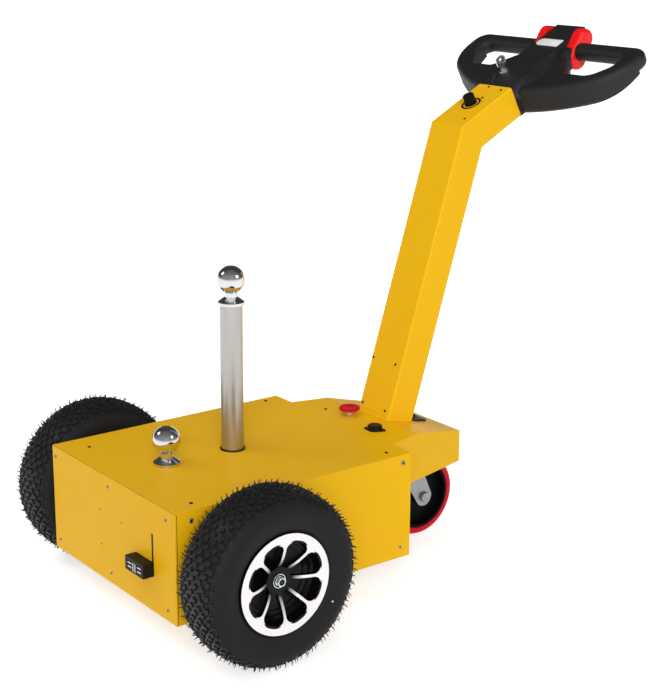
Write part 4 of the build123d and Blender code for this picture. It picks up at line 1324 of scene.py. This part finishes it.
@dataclass
class Valve:
    """Inflation valve that leans out of the sidewall beside the rim."""

    side: Side
    rubber: bpy.types.Material
    metal: bpy.types.Material
    out: float = 46.4 * MM
    back: float = 86.0 * MM
    drop: float = 50.0 * MM
    radius: float = 3.1 * MM
    length: float = 6.5 * MM
    cap_share: float = 0.84
    cap_length: float = 3.4 * MM
    overlap: float = 0.3 * MM
    lean: float = math.radians(72.0)
    stem_taper: float = 0.8
    stem_edge: float = 0.5 * MM
    cap_edge: float = 0.6 * MM

    def _rod(self, name: str, radius: float, length: float, taper: float, edge: float) -> bpy.types.Object:
        """Model a short rod with a rounded end.

        Args:
            name: the piece's name.
            radius: its radius.
            length: its length.
            taper: the end's width, in parts of the foot's.
            edge: width of the rounding.

        Returns:
            The rod, standing on the origin.
        """
        rod = Bench.rod(name, radius, length, sides=20)
        Bench.edit(rod)
        Bench.pick_faces(rod, lambda face: face.normal.z > FACES_UP)
        bpy.ops.transform.resize(value=(taper, taper, 1.0))
        bpy.ops.mesh.bevel(offset=edge, segments=2, affect="EDGES")
        Bench.done()
        return rod

    def build(self) -> None:
        """Model the rubber stem and its metal cap."""
        side = self.side
        foot = box_middle(f"tyre_{side.value}") + Vector((side.sign * self.out, self.back, -self.drop))
        radial = Vector((0.0, self.back, -self.drop)).normalized()
        way = Vector((side.sign * math.cos(self.lean), 0.0, 0.0)) + radial * math.sin(self.lean)
        sizes = (self.radius, self.length, self.stem_taper, self.stem_edge)
        stem = self._rod(f"valve_stem_{side.value}", *sizes)
        Bench.settle(stem, facing(foot, way))
        Bench.smooth(stem)
        Bench.dress(stem, self.rubber, f"wheel_{side.value}", "tyre")
        sizes = (self.radius * self.cap_share, self.cap_length, 1.0, self.cap_edge)
        cap = self._rod(f"valve_cap_{side.value}", *sizes)
        Bench.settle(cap, facing(foot + way * (self.length - self.overlap), way))
        Bench.smooth(cap)
        Bench.dress(cap, self.metal, f"wheel_{side.value}", "zinc")


# Body, column and head


@dataclass
class Screws:
    """Button-head screws set out over one sub-assembly, with shares of the head's radius and height."""

    name: str
    places: Sequence[tuple[Vector, Vector]]
    material: bpy.types.Material
    radius: float = 2.9 * MM
    height: float = 1.5 * MM
    body: str = "chassis"
    # Black finish for the hexagons that paint the shade at the bottom of each socket.
    socket: bpy.types.Material | None = None
    edge_share: float = 0.55
    rim_share: float = 0.12
    socket_share: float = 0.62
    bottom_share: float = 0.46
    bottom_rim_share: float = 0.08
    bottom_thick_share: float = 0.20
    bottom_dish_share: float = 0.4

    def _master(self) -> bpy.types.Object:
        """Model one screw head with its hexagon socket.

        Returns:
            The head, standing on the origin.
        """
        head = Bench.rod("screw", self.radius, self.height, sides=24)
        Bench.edit(head)
        Bench.pick_faces(head, lambda face: face.normal.z > FACES_UP)
        bpy.ops.mesh.bevel(offset=self.height * self.edge_share, segments=3, affect="EDGES")
        Bench.pick_faces(head, lambda face: face.normal.z > LIES_FLAT)
        bpy.ops.mesh.inset(thickness=self.radius * self.rim_share)
        sunk = (0.0, 0.0, -self.height * self.socket_share)
        bpy.ops.mesh.extrude_region_move(TRANSFORM_OT_translate={"value": sunk})
        Bench.done()
        return head

    def build(self) -> None:
        """Model the screws as one piece."""
        master = self._master()
        parts = [Bench.copy(master, facing(place, outwards)) for place, outwards in self.places]
        Bench.scrap(master)
        screws = Bench.join(self.name, parts)
        Bench.smooth(screws)
        if self.socket:
            self._socket_shade()
        Bench.dress(screws, self.material, self.body, "zinc")

    def _socket_shade(self) -> None:
        """Model the dark hexagon at the bottom of each socket, painted shade in the recess, as one piece.
        """
        thick = self.height * self.bottom_thick_share
        master = Bench.rod("bottom", self.radius * self.bottom_share, thick, sides=6)
        Bench.edit(master)
        Bench.pick_faces(master, lambda face: face.normal.z > FACES_UP)
        bpy.ops.mesh.inset(thickness=self.radius * self.bottom_rim_share)
        bpy.ops.transform.translate(value=(0.0, 0.0, -thick * self.bottom_dish_share))
        Bench.done()
        Bench.settle(master, Matrix.Translation((0.0, 0.0, self.height * (1.0 - self.socket_share))))
        parts = [Bench.copy(master, facing(place, outwards)) for place, outwards in self.places]
        Bench.scrap(master)
        bottoms = Bench.join(f"{self.name}_sockets", parts)
        Bench.dress(bottoms, self.socket, self.body, "zinc")


@dataclass
class Body:
    """Steel box and tail: paint, screws, seals, the strip in the slot and the plug's contacts, whose pale
    colour is a painted highlight on their edges.
    """

    machine: Machine
    palette: Palette
    painted: tuple[str, ...] = (
        "front_panel",
        "side_panel_left",
        "side_panel_right",
        "rear_panel",
        "floor_plate",
        "deck_plate",
        "tail_skirt",
        "tail_cross_plate",
    )
    front_screws: tuple[tuple[float, float], ...] = (
        (-0.1935, -0.0185),
        (-0.007, -0.0185),
        (0.179, -0.0185),
        (-0.1885, -0.176),
        (-0.004, -0.176),
        (0.180, -0.176),
    )
    side_screws: tuple[tuple[float, float], ...] = ((0.469, -0.175),)
    large_screws: tuple[tuple[float, float], ...] = ((0.030, -0.0175), (0.472, -0.0156))
    front_rivets: tuple[tuple[float, float], ...] = (
        (-0.0375, -0.069),
        (0.035, -0.070),
        (-0.038, -0.133),
    )
    deck_screws: tuple[tuple[float, float], ...] = (
        (-0.1555, 0.0465),
        (-0.189, 0.454),
        (-0.079, 0.517),
        (0.181, 0.454),
        (0.180, 0.047),
    )

    seal: tuple[float, float] = (0.5 * MM, 1.1 * MM)
    seal_back: float = 0.6 * MM
    seal_round: float = 0.2 * MM
    edge_seal: tuple[float, float] = (0.8 * MM, 0.9 * MM)
    edge_seal_back: float = 0.3 * MM
    edge_seal_drop: float = 0.5 * MM
    strip: tuple[float, float] = (6.6 * MM, 1.2 * MM)
    strip_top_drop: float = 57.4 * MM
    strip_inset: float = 3.5 * MM
    strip_back: float = 1.3 * MM
    strip_round: float = 0.25 * MM
    # Pale bars on the plug's front: real contact edges, coloured pale as painted highlights.
    contact_highlight_depth: float = 1.6 * MM
    contact_highlight_round: float = 0.3 * MM
    upright_contact_highlights: tuple[float, float, float] = (2.2, 15.0, 0.5)
    upright_places: tuple[tuple[float, float], ...] = ((-3.2, 0.0), (3.2, 0.0))
    level_contact_highlights: tuple[float, float, float] = (13.6, 2.1, 1.3)
    level_places: tuple[tuple[float, float], ...] = (
        (-15.0, -3.4),
        (-15.0, 3.4),
        (15.0, -3.4),
        (15.0, 3.4),
    )

    def _dress_nodes(self) -> None:
        """Dress the sheet metal, the axle, the batteries and the fittings on the deck."""
        self.machine.dress(self.palette.paint, *self.painted)
        self.machine.dress(self.palette.axle, "drive_axle")
        self.machine.dress(self.palette.battery, "battery_block")
        self.machine.dress(self.palette.black, "battery_plug", "charge_cap", "rocker_switch")
        self.machine.dress(self.palette.stop_red, "stop_button")
        self.machine.dress(self.palette.zinc, "stop_collar")

    def _screws(self) -> None:
        """Set out the screws of the front, the sides and the deck."""
        forward, up = Vector((0, -1, 0)), Vector((0, 0, 1))
        dark, black = self.palette.dark_screw, self.palette.black
        deck = self.machine.deck
        places = [(deck(x, 0.0, z), forward) for x, z in self.front_screws]
        large = []
        for sign in (1, -1):
            x, outwards = sign * self.machine.half_width, Vector((sign, 0, 0))
            places += [(deck(x, y, z), outwards) for y, z in self.side_screws]
            large += [(deck(x, y, z), outwards) for y, z in self.large_screws]
        flat = [(deck(x, y), up) for x, y in self.deck_screws]
        rivets = [(deck(x, 0.0, z), forward) for x, z in self.front_rivets]
        # Black hexagons paint the shade at the bottom of these screws' sockets.
        Screws("body_screws", places, dark, socket=black).build()
        Screws("corner_screws", large, dark, radius=4.6 * MM, height=2.4 * MM, socket=black).build()
        Screws("deck_screws", flat, black, radius=3.2 * MM, height=1.3 * MM).build()
        Screws("panel_rivets", rivets, black, radius=1.3 * MM, height=0.5 * MM).build()

    def _corner_seals(self) -> None:
        """Model the dark seals along the front panel's top edge and beside each side panel."""
        low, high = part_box("side_panel_left")
        master = Bench.block("seal", (*self.seal, high.z - low.z))
        Bench.soften(master, self.seal_round, 1)
        parts = []
        for sign in (1, -1):
            x, y = sign * self.machine.half_width, low.y + self.seal_back
            place = Vector((x, y, (low.z + high.z) / 2))
            parts.append(Bench.copy(master, Matrix.Translation(place)))
        Bench.scrap(master)
        low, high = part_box("front_panel")
        edge = Bench.block("edge_seal", (high.x - low.x, *self.edge_seal))
        Bench.soften(edge, self.seal_round, 1)
        place = self.machine.deck(0.0, self.edge_seal_back, -self.edge_seal_drop)
        Bench.settle(edge, Matrix.Translation(place))
        parts.append(edge)
        seals = Bench.join("corner_seals", parts)
        Bench.dress(seals, self.palette.black, "chassis", "plastic")

    def _slot_strip(self) -> None:
        """Model the black strip that closes the cable slot over the battery plug."""
        _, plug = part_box("battery_plug")
        top = self.machine.deck_z - self.strip_top_drop
        strip = Bench.block("slot_strip", (*self.strip, top - plug.z))
        Bench.soften(strip, self.strip_round, 1)
        x, y = plug.x - self.strip_inset, self.machine.front_y + self.strip_back
        Bench.settle(strip, Matrix.Translation((x, y, (top + plug.z) / 2)))
        Bench.dress(strip, self.palette.black, "chassis", "plastic")

    def _plug_contact_highlights(self) -> None:
        """Model the contacts of the battery plug as pale bars: the bars are real edges, and their pale
        colour is a painted highlight.
        """
        low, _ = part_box("battery_plug")
        middle = box_middle("battery_plug")
        middle.y = low.y
        bars = [(place, self.upright_contact_highlights) for place in self.upright_places]
        bars += [(place, self.level_contact_highlights) for place in self.level_places]
        parts = []
        for (x, z), (width, tall, back) in bars:
            bar = Bench.block("bar", (width * MM, self.contact_highlight_depth, tall * MM))
            Bench.soften(bar, self.contact_highlight_round, 1)
            Bench.settle(bar, Matrix.Translation(middle + Vector((x, back, z)) * MM))
            parts.append(bar)
        contacts = Bench.join("plug_contact_highlights", parts)
        # Pale satin paints the highlights on the contact edges.
        Bench.dress(contacts, self.palette.satin, "chassis", "zinc")

    def build(self) -> None:
        """Dress the box and the tail."""
        self._dress_nodes()
        self._screws()
        self._corner_seals()
        self._slot_strip()
        self._plug_contact_highlights()


@dataclass
class Column:
    """Steering column: its paint, the lip at its foot and its screws."""

    machine: Machine
    palette: Palette
    front_screws: tuple[tuple[float, float], ...] = (
        (-38.0, 105.0),
        (27.0, 105.0),
        (-36.2, 15.5),
        (30.4, 15.0),
    )
    neck_screws: tuple[tuple[float, float], ...] = (
        (26.0, -112.0),
        (27.0, -11.0),
        (-11.0, -6.0),
        (6.0, -42.0),
    )

    lip: tuple[float, float] = (1.8 * MM, 0.9 * MM)
    lip_short: float = 8.0 * MM
    lip_up: float = 6.5 * MM
    lip_round: float = 0.3 * MM

    def build(self) -> None:
        """Dress the column and set out its fittings."""
        machine = self.machine
        machine.dress(self.palette.paint, "column_lower", "column_neck")
        outwards, up = machine.column_out(), machine.head_up()
        spots = [(machine.column(x * MM, along * MM), outwards) for x, along in self.front_screws]
        spots += [(machine.head(x * MM, s * MM, 0.0), up) for x, s in self.neck_screws]
        Screws("column_screws", spots, self.palette.black, radius=2.4 * MM, height=0.9 * MM).build()
        low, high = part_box("column_lower")
        lip = Bench.block("column_lip", (high.x - low.x - self.lip_short, *self.lip))
        Bench.soften(lip, self.lip_round, 1)
        Bench.settle(lip, facing(machine.column(0.0, self.lip_up), outwards))
        Bench.dress(lip, self.palette.paint, "chassis", "paint")


@dataclass
class TillerHead:
    """Tiller head: shells and controls, blank label plate, dial ring, key ring and trim line.

    Its sizes are in millimetres and degrees, in the head's own frame.
    """

    machine: Machine
    palette: Palette
    knob: tuple[float, float] = (-4.0, -64.0)
    ring: tuple[float, float, float] = (15.6, 19.6, 0.4)
    tick: tuple[float, float, float] = (3.4, 1.2, 0.4)
    tick_gap: float = 3.6
    tick_round: float = 0.1
    tick_angles: tuple[float, ...] = (25.0, 155.0)
    label: tuple[float, float, float, float] = (-30.0, 30.0, 147.0, 170.0)
    label_thickness: float = 1.6
    label_end: float = 0.48
    label_round: float = 0.4
    key_ring_radius: float = 8.0
    key_ring_wire: float = 0.8
    key_ring_squeeze: float = 0.86
    key_ring_hang: tuple[float, float, float] = (2.0, 0.0, -7.0)
    key_ring_tilt: float = 78.0
    key_ring_turn: float = 30.0
    trim: tuple[tuple[float, float], tuple[float, float]] = ((-15.1, 7.3), (-35.2, 36.9))
    trim_section: tuple[float, float] = (1.7, 0.6)
    trim_lift: float = 0.2
    trim_round: float = 0.15

    def _dress_nodes(self) -> None:
        """Dress the shells, the hood, the paddles and the small controls."""
        shells = ("head_shell_upper", "head_shell_lower", "head_hood", "belly_switch")
        self.machine.dress(self.palette.handle, *shells)
        self.machine.dress(self.palette.red, "thumb_paddle_left", "thumb_paddle_right")
        self.machine.dress(self.palette.zinc, "key_switch", "key")
        self.machine.dress(self.palette.black, "speed_knob")

    def _label(self) -> None:
        """Model the blank label plate, its far end rounded."""
        left, right, near, far = (value * MM for value in self.label)
        plate = Bench.block("label_plate", (right - left, far - near, self.label_thickness * MM))
        Bench.edit(plate, "EDGE")
        Bench.pick_edges(plate, lambda edge: self._upright(edge) and edge.verts[0].co.x < 0)
        bpy.ops.mesh.bevel(offset=(far - near) * self.label_end, segments=8, affect="EDGES")
        Bench.done()
        Bench.soften(plate, self.label_round * MM, 2, degrees=60.0)
        lift = self.label_thickness / 2 * MM
        middle = self.machine.head((left + right) / 2, (near + far) / 2, lift)
        Bench.settle(plate, facing(middle, self.machine.head_up()))
        Bench.smooth(plate)
        Bench.dress(plate, self.palette.satin, "chassis", "zinc")

    @staticmethod
    def _upright(edge: bmesh.types.BMEdge) -> bool:
        """Return whether an edge stands along z."""
        first, second = edge.verts
        return abs(first.co.z - second.co.z) > 0.01 * MM

    def _dial(self) -> None:
        """Model the dark ring round the speed knob with its two ticks."""
        inner, outer, tall = (value * MM for value in self.ring)
        section = ((0.0, inner), (tall, inner), (tall, outer), (0.0, outer), (0.0, inner))
        ring = Bench.lathe("dial_ring", section, steps=48)
        middle = self.machine.head(self.knob[0] * MM, self.knob[1] * MM, 0.0)
        flat = facing(middle, self.machine.head_up())
        Bench.settle(ring, flat @ Matrix.Rotation(-math.pi / 2, 4, "Y"))
        parts = [ring]
        away = Matrix.Translation((outer + self.tick_gap * MM, 0.0, self.tick[2] / 2 * MM))
        for angle in self.tick_angles:
            tick = Bench.block("tick", [length * MM for length in self.tick])
            Bench.soften(tick, self.tick_round * MM, 1)
            Bench.settle(tick, flat @ Matrix.Rotation(math.radians(angle), 4, "Z") @ away)
            parts.append(tick)
        dial = Bench.join("speed_dial", parts)
        Bench.dress(dial, self.palette.black, "chassis", "plastic")

    def _key_ring(self) -> None:
        """Model the ring that hangs from the key."""
        Bench.clear()
        bpy.ops.mesh.primitive_torus_add(
            major_radius=self.key_ring_radius * MM,
            minor_radius=self.key_ring_wire * MM,
            major_segments=36,
            minor_segments=10,
        )
        ring = Bench.adopt("key_ring")
        Bench.edit(ring)
        bpy.ops.mesh.select_all(action="SELECT")
        bpy.ops.transform.resize(value=(1.0, self.key_ring_squeeze, 1.0))
        Bench.done()
        low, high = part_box("key")
        hang = box_middle("key") + Vector(self.key_ring_hang) * MM
        hang.z += (high.z - low.z) / 2
        tilted = Matrix.Rotation(math.radians(self.key_ring_tilt), 4, "X")
        turned = Matrix.Rotation(math.radians(self.key_ring_turn), 4, "Y")
        Bench.settle(ring, Matrix.Translation(hang) @ tilted @ turned)
        Bench.smooth(ring, degrees=60.0)
        Bench.dress(ring, self.palette.zinc, "chassis", "zinc")

    def _trim(self) -> None:
        """Model the thin bright line on the shell beside the key."""
        start, end = (self.machine.head(x * MM, s * MM, 0.0) for x, s in self.trim)
        wide, tall = (value * MM for value in self.trim_section)
        line = Bench.block("trim_line", ((end - start).length, wide, tall))
        Bench.soften(line, self.trim_round * MM, 1)
        along, up = (end - start).normalized(), self.machine.head_up()
        turned = Matrix((along, up.cross(along), up)).transposed().to_4x4()
        Bench.settle(line, Matrix.Translation((start + end) / 2 + up * self.trim_lift * MM) @ turned)
        Bench.dress(line, self.palette.zinc, "chassis", "zinc")

    def build(self) -> None:
        """Dress the head and model its fittings."""
        self._dress_nodes()
        self._label()
        self._dial()
        self._key_ring()
        self._trim()


# Towing gear and running gear


@dataclass
class Towing:
    """Both towing balls, and the post with its collar."""

    machine: Machine
    palette: Palette

    def build(self) -> None:
        """Dress the balls, the post and its collar."""
        self.machine.dress(self.palette.chrome, "tow_ball_low", "tow_ball_high")
        self.machine.dress(self.palette.post, "tow_post")
        self.machine.dress(self.palette.black, "post_collar")


@dataclass
class Caster:
    """Rear caster: plate, fork, bolt and wheel."""

    machine: Machine
    palette: Palette

    def build(self) -> None:
        """Dress the caster."""
        low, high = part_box("caster_core")
        core = CasterCore(box_middle("caster_core"), (high.z - low.z) / 2).build()
        self.machine.dress(self.palette.caster_zinc, "caster_plate", "caster_fork", "caster_bolt")
        self.machine.dress(self.palette.tread_red, "caster_tread")
        self.machine.dress(core, "caster_core")


@dataclass
class DriveWheel:
    """One drive wheel: rim, axle bolt, tyre, closing web and valve."""

    side: Side
    machine: Machine
    palette: Palette

    def build(self) -> None:
        """Dress the rim and its bolt, and model the rest."""
        side = self.side
        centre = box_middle(f"tyre_{side.value}")
        self.machine.dress(CutAluminium(centre, side).build(), f"wheel_rim_{side.value}")
        self.machine.dress(AxleBolt(centre, side).build(), f"hub_bolt_{side.value}")
        DriveTyre(side).build()
        RimWeb(side, self.palette.gloss_black).build()
        Valve(side, self.palette.black, self.palette.zinc).build()


# Studio


@dataclass(frozen=True)
class Sun:
    """Broad sun: where it stands, its irradiance, its width in degrees, whether reflections show it."""

    name: str
    towards: tuple[float, float, float]
    strength: float
    spread: float
    mirrored: bool = True

    def build(self) -> None:
        """Add the sun."""
        light = bpy.data.lights.new(self.name, "SUN")
        light.energy = self.strength
        light.angle = math.radians(self.spread)
        lamp = bpy.data.objects.new(self.name, light)
        bpy.context.scene.collection.objects.link(lamp)
        lamp.visible_glossy = self.mirrored
        lamp.rotation_euler = Vector(self.towards).to_track_quat("Z", "Y").to_euler()


@dataclass(frozen=True)
class SoftBox:
    """Square soft lamp: where it hangs, the width of its face and its power in watts."""

    name: str
    place: tuple[float, float, float]
    size: float
    power: float

    def build(self, aim: Vector) -> None:
        """Hang the lamp.

        Args:
            aim: the point that it faces.
        """
        light = bpy.data.lights.new(self.name, "AREA")
        light.shape = "SQUARE"
        light.size = self.size
        light.energy = self.power
        lamp = bpy.data.objects.new(self.name, light)
        bpy.context.scene.collection.objects.link(lamp)
        lamp.location = self.place
        lamp.rotation_euler = (aim - lamp.location).to_track_quat("-Z", "Y").to_euler()


@dataclass
class Studio:
    """Pale floor, white backdrop under a grey ceiling, soft light and the camera of the picture."""

    machine: Machine
    azimuth: float = 52.495
    elevation: float = 15.779
    roll: float = 0.405
    focal_pixels: float = 1540.1
    width: int = 658
    sensor: float = 36.0
    stand: tuple[float, float, float] = (2.1569, -1.1918, 0.9235)
    floor_size: float = 90.0
    floor_glow: float = 0.60
    floor_grey: Colour = (0.80, 0.80, 0.80)
    ambient: float = 0.80
    ceiling_from: float = 0.10
    backdrop: tuple[tuple[float, Colour], ...] = (
        (0.0, (1.0, 1.0, 1.0)),
        (0.10, (0.90, 0.90, 0.90)),
        (0.22, (0.34, 0.34, 0.34)),
        (0.55, (0.30, 0.30, 0.30)),
        (0.80, (0.22, 0.22, 0.22)),
    )
    dim_share: float = 0.28
    open_share: float = 1.25
    dim_until: float = -0.35
    open_from: float = 0.55
    aim: tuple[float, float, float] = (0.0, -0.1, 0.35)
    suns: tuple[Sun, ...] = (
        Sun("key", (0.78, -0.50, 0.40), 1.95, 34.0),
        Sun("fill", (-0.1, -0.3, 1.0), 0.85, 50.0, False),
        Sun("back", (-0.5, 0.8, 0.5), 0.5, 50.0, False),
    )
    boxes: tuple[SoftBox, ...] = (
        SoftBox("left_box", (-1.6, -1.9, 2.3), 0.8, 7.0),
        SoftBox("right_box", (2.4, 0.8, 2.0), 0.9, 8.0),
    )

    def _floor(self) -> None:
        """Lay a floor that takes the shadow and is nearly white to the eye and in reflections."""
        Bench.clear()
        bpy.ops.mesh.primitive_plane_add(size=self.floor_size)
        floor = Bench.adopt("studio_floor")
        sheet = Sheet("pale_floor")
        seen = sheet.rays("Is Camera Ray", "Is Glossy Ray", "Is Transmission Ray")
        glow = sheet.glow("ShaderNodeEmission", (1.0, 1.0, 1.0), seen * self.floor_glow)
        sheet.finish(Base_Color=self.floor_grey, Roughness=0.9, Specular_IOR_Level=0.0)
        both = sheet.node("ShaderNodeAddShader", {}, {0: sheet.shader.outputs[0], 1: glow})
        sheet.show("Material Output", both.outputs[0])
        floor.data.materials.append(sheet.material)

    def _walls(self, tree: Tree, kind: str, x: Wire, y: Wire, z: Wire) -> bpy.types.NodeSocket:
        """Light the studio's walls: dark towards the ceiling, brighter on the camera's side.

        Args:
            tree: the tree of the world or of a material.
            kind: the type of node that gives the light.
            x: direction along x, in parts of its length.
            y: direction along y.
            z: direction along z.

        Returns:
            The shader's socket.
        """
        ramp = tree.node("ShaderNodeValToRGB", {"stops": self.backdrop}, {0: z})
        azimuth = math.radians(self.azimuth)
        towards_lens = x * math.sin(azimuth) - y * math.cos(azimuth)
        opened = ((towards_lens - self.dim_until) / (self.open_from - self.dim_until)).clipped()
        share = opened * (self.open_share - self.dim_share) + self.dim_share
        return tree.glow(kind, ramp.outputs[0], share * self.ambient)

    def _ceiling(self) -> None:
        """Hang a grey ceiling above the white backdrop, which only reflections show."""
        radius = self.floor_size / 2
        Bench.clear()
        bpy.ops.mesh.primitive_uv_sphere_add(segments=64, ring_count=48, radius=radius)
        ceiling = Bench.adopt("studio_ceiling")
        Bench.edit(ceiling)
        bpy.ops.mesh.select_all(action="SELECT")
        bpy.ops.mesh.bisect(
            plane_co=(0.0, 0.0, radius * self.ceiling_from), plane_no=(0.0, 0.0, 1.0), clear_inner=True
        )
        Bench.done()
        sheet = Sheet("grey_ceiling")
        x, y, z = (place / radius for place in (sheet.x, sheet.y, sheet.z))
        sheet.show("Material Output", self._walls(sheet, "ShaderNodeEmission", x, y, z))
        ceiling.data.materials.append(sheet.material)
        ceiling.visible_camera = False
        ceiling.visible_diffuse = False
        ceiling.visible_transmission = False
        ceiling.visible_shadow = False

    def _world(self) -> None:
        """Surround the machine with walls that light it, white to the eye and in reflections."""
        world = bpy.data.worlds.new("studio")
        bpy.context.scene.world = world
        world.use_nodes = True
        tree = Tree(world.node_tree)
        ways = tree.node("ShaderNodeTexCoord", {}, {})
        x, y, z = tree.split(ways.outputs["Generated"])
        light = self._walls(tree, "ShaderNodeBackground", x, y, z)
        white = tree.glow("ShaderNodeBackground", (1.0, 1.0, 1.0), 1.0)
        seen = tree.rays("Is Camera Ray", "Is Glossy Ray", "Is Transmission Ray")
        both = tree.node("ShaderNodeMixShader", {}, {0: seen, 1: light, 2: white})
        tree.show("World Output", both.outputs[0])

    def _camera(self) -> None:
        """Stand the camera where the picture was taken from."""
        data = bpy.data.cameras.new("camera")
        data.sensor_fit = "HORIZONTAL"
        data.sensor_width = self.sensor
        data.lens = self.focal_pixels / self.width * self.sensor
        data.clip_end = 200.0
        data.dof.use_dof = False
        camera = bpy.data.objects.new("camera", data)
        bpy.context.scene.collection.objects.link(camera)
        azimuth, elevation = math.radians(self.azimuth), math.radians(self.elevation)
        level = math.cos(elevation)
        back = Vector((math.sin(azimuth) * level, -math.cos(azimuth) * level, math.sin(elevation)))
        right = Vector((0, 0, 1)).cross(back).normalized()
        turned = Matrix((right, back.cross(right), back)).transposed().to_4x4()
        roll = Matrix.Rotation(math.radians(self.roll), 4, "Z")
        place = self.machine.deck(0.0, 0.0) + Vector(self.stand)
        camera.matrix_world = Matrix.Translation(place) @ turned @ roll
        bpy.context.scene.camera = camera

    def build(self) -> None:
        """Set up the studio."""
        self._floor()
        self._ceiling()
        self._world()
        for sun in self.suns:
            sun.build()
        for box in self.boxes:
            box.build(Vector(self.aim))
        self._camera()
        bpy.context.scene.view_settings.view_transform = "Standard"


def main(nodes: dict[str, bpy.types.Object]) -> None:
    """Build and dress every sub-assembly in order.

    Args:
        nodes: the loaded nodes, by name.
    """
    logging.basicConfig(level=logging.INFO, format="%(name)s %(message)s")
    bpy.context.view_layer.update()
    machine = Machine(nodes)
    palette = Palette()
    Body(machine, palette).build()
    Towing(machine, palette).build()
    Caster(machine, palette).build()
    Column(machine, palette).build()
    TillerHead(machine, palette).build()
    for side in Side:
        DriveWheel(side, machine, palette).build()
    Studio(machine).build()


if __name__ == "__main__":
    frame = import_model()
    main(frame["nodes"])
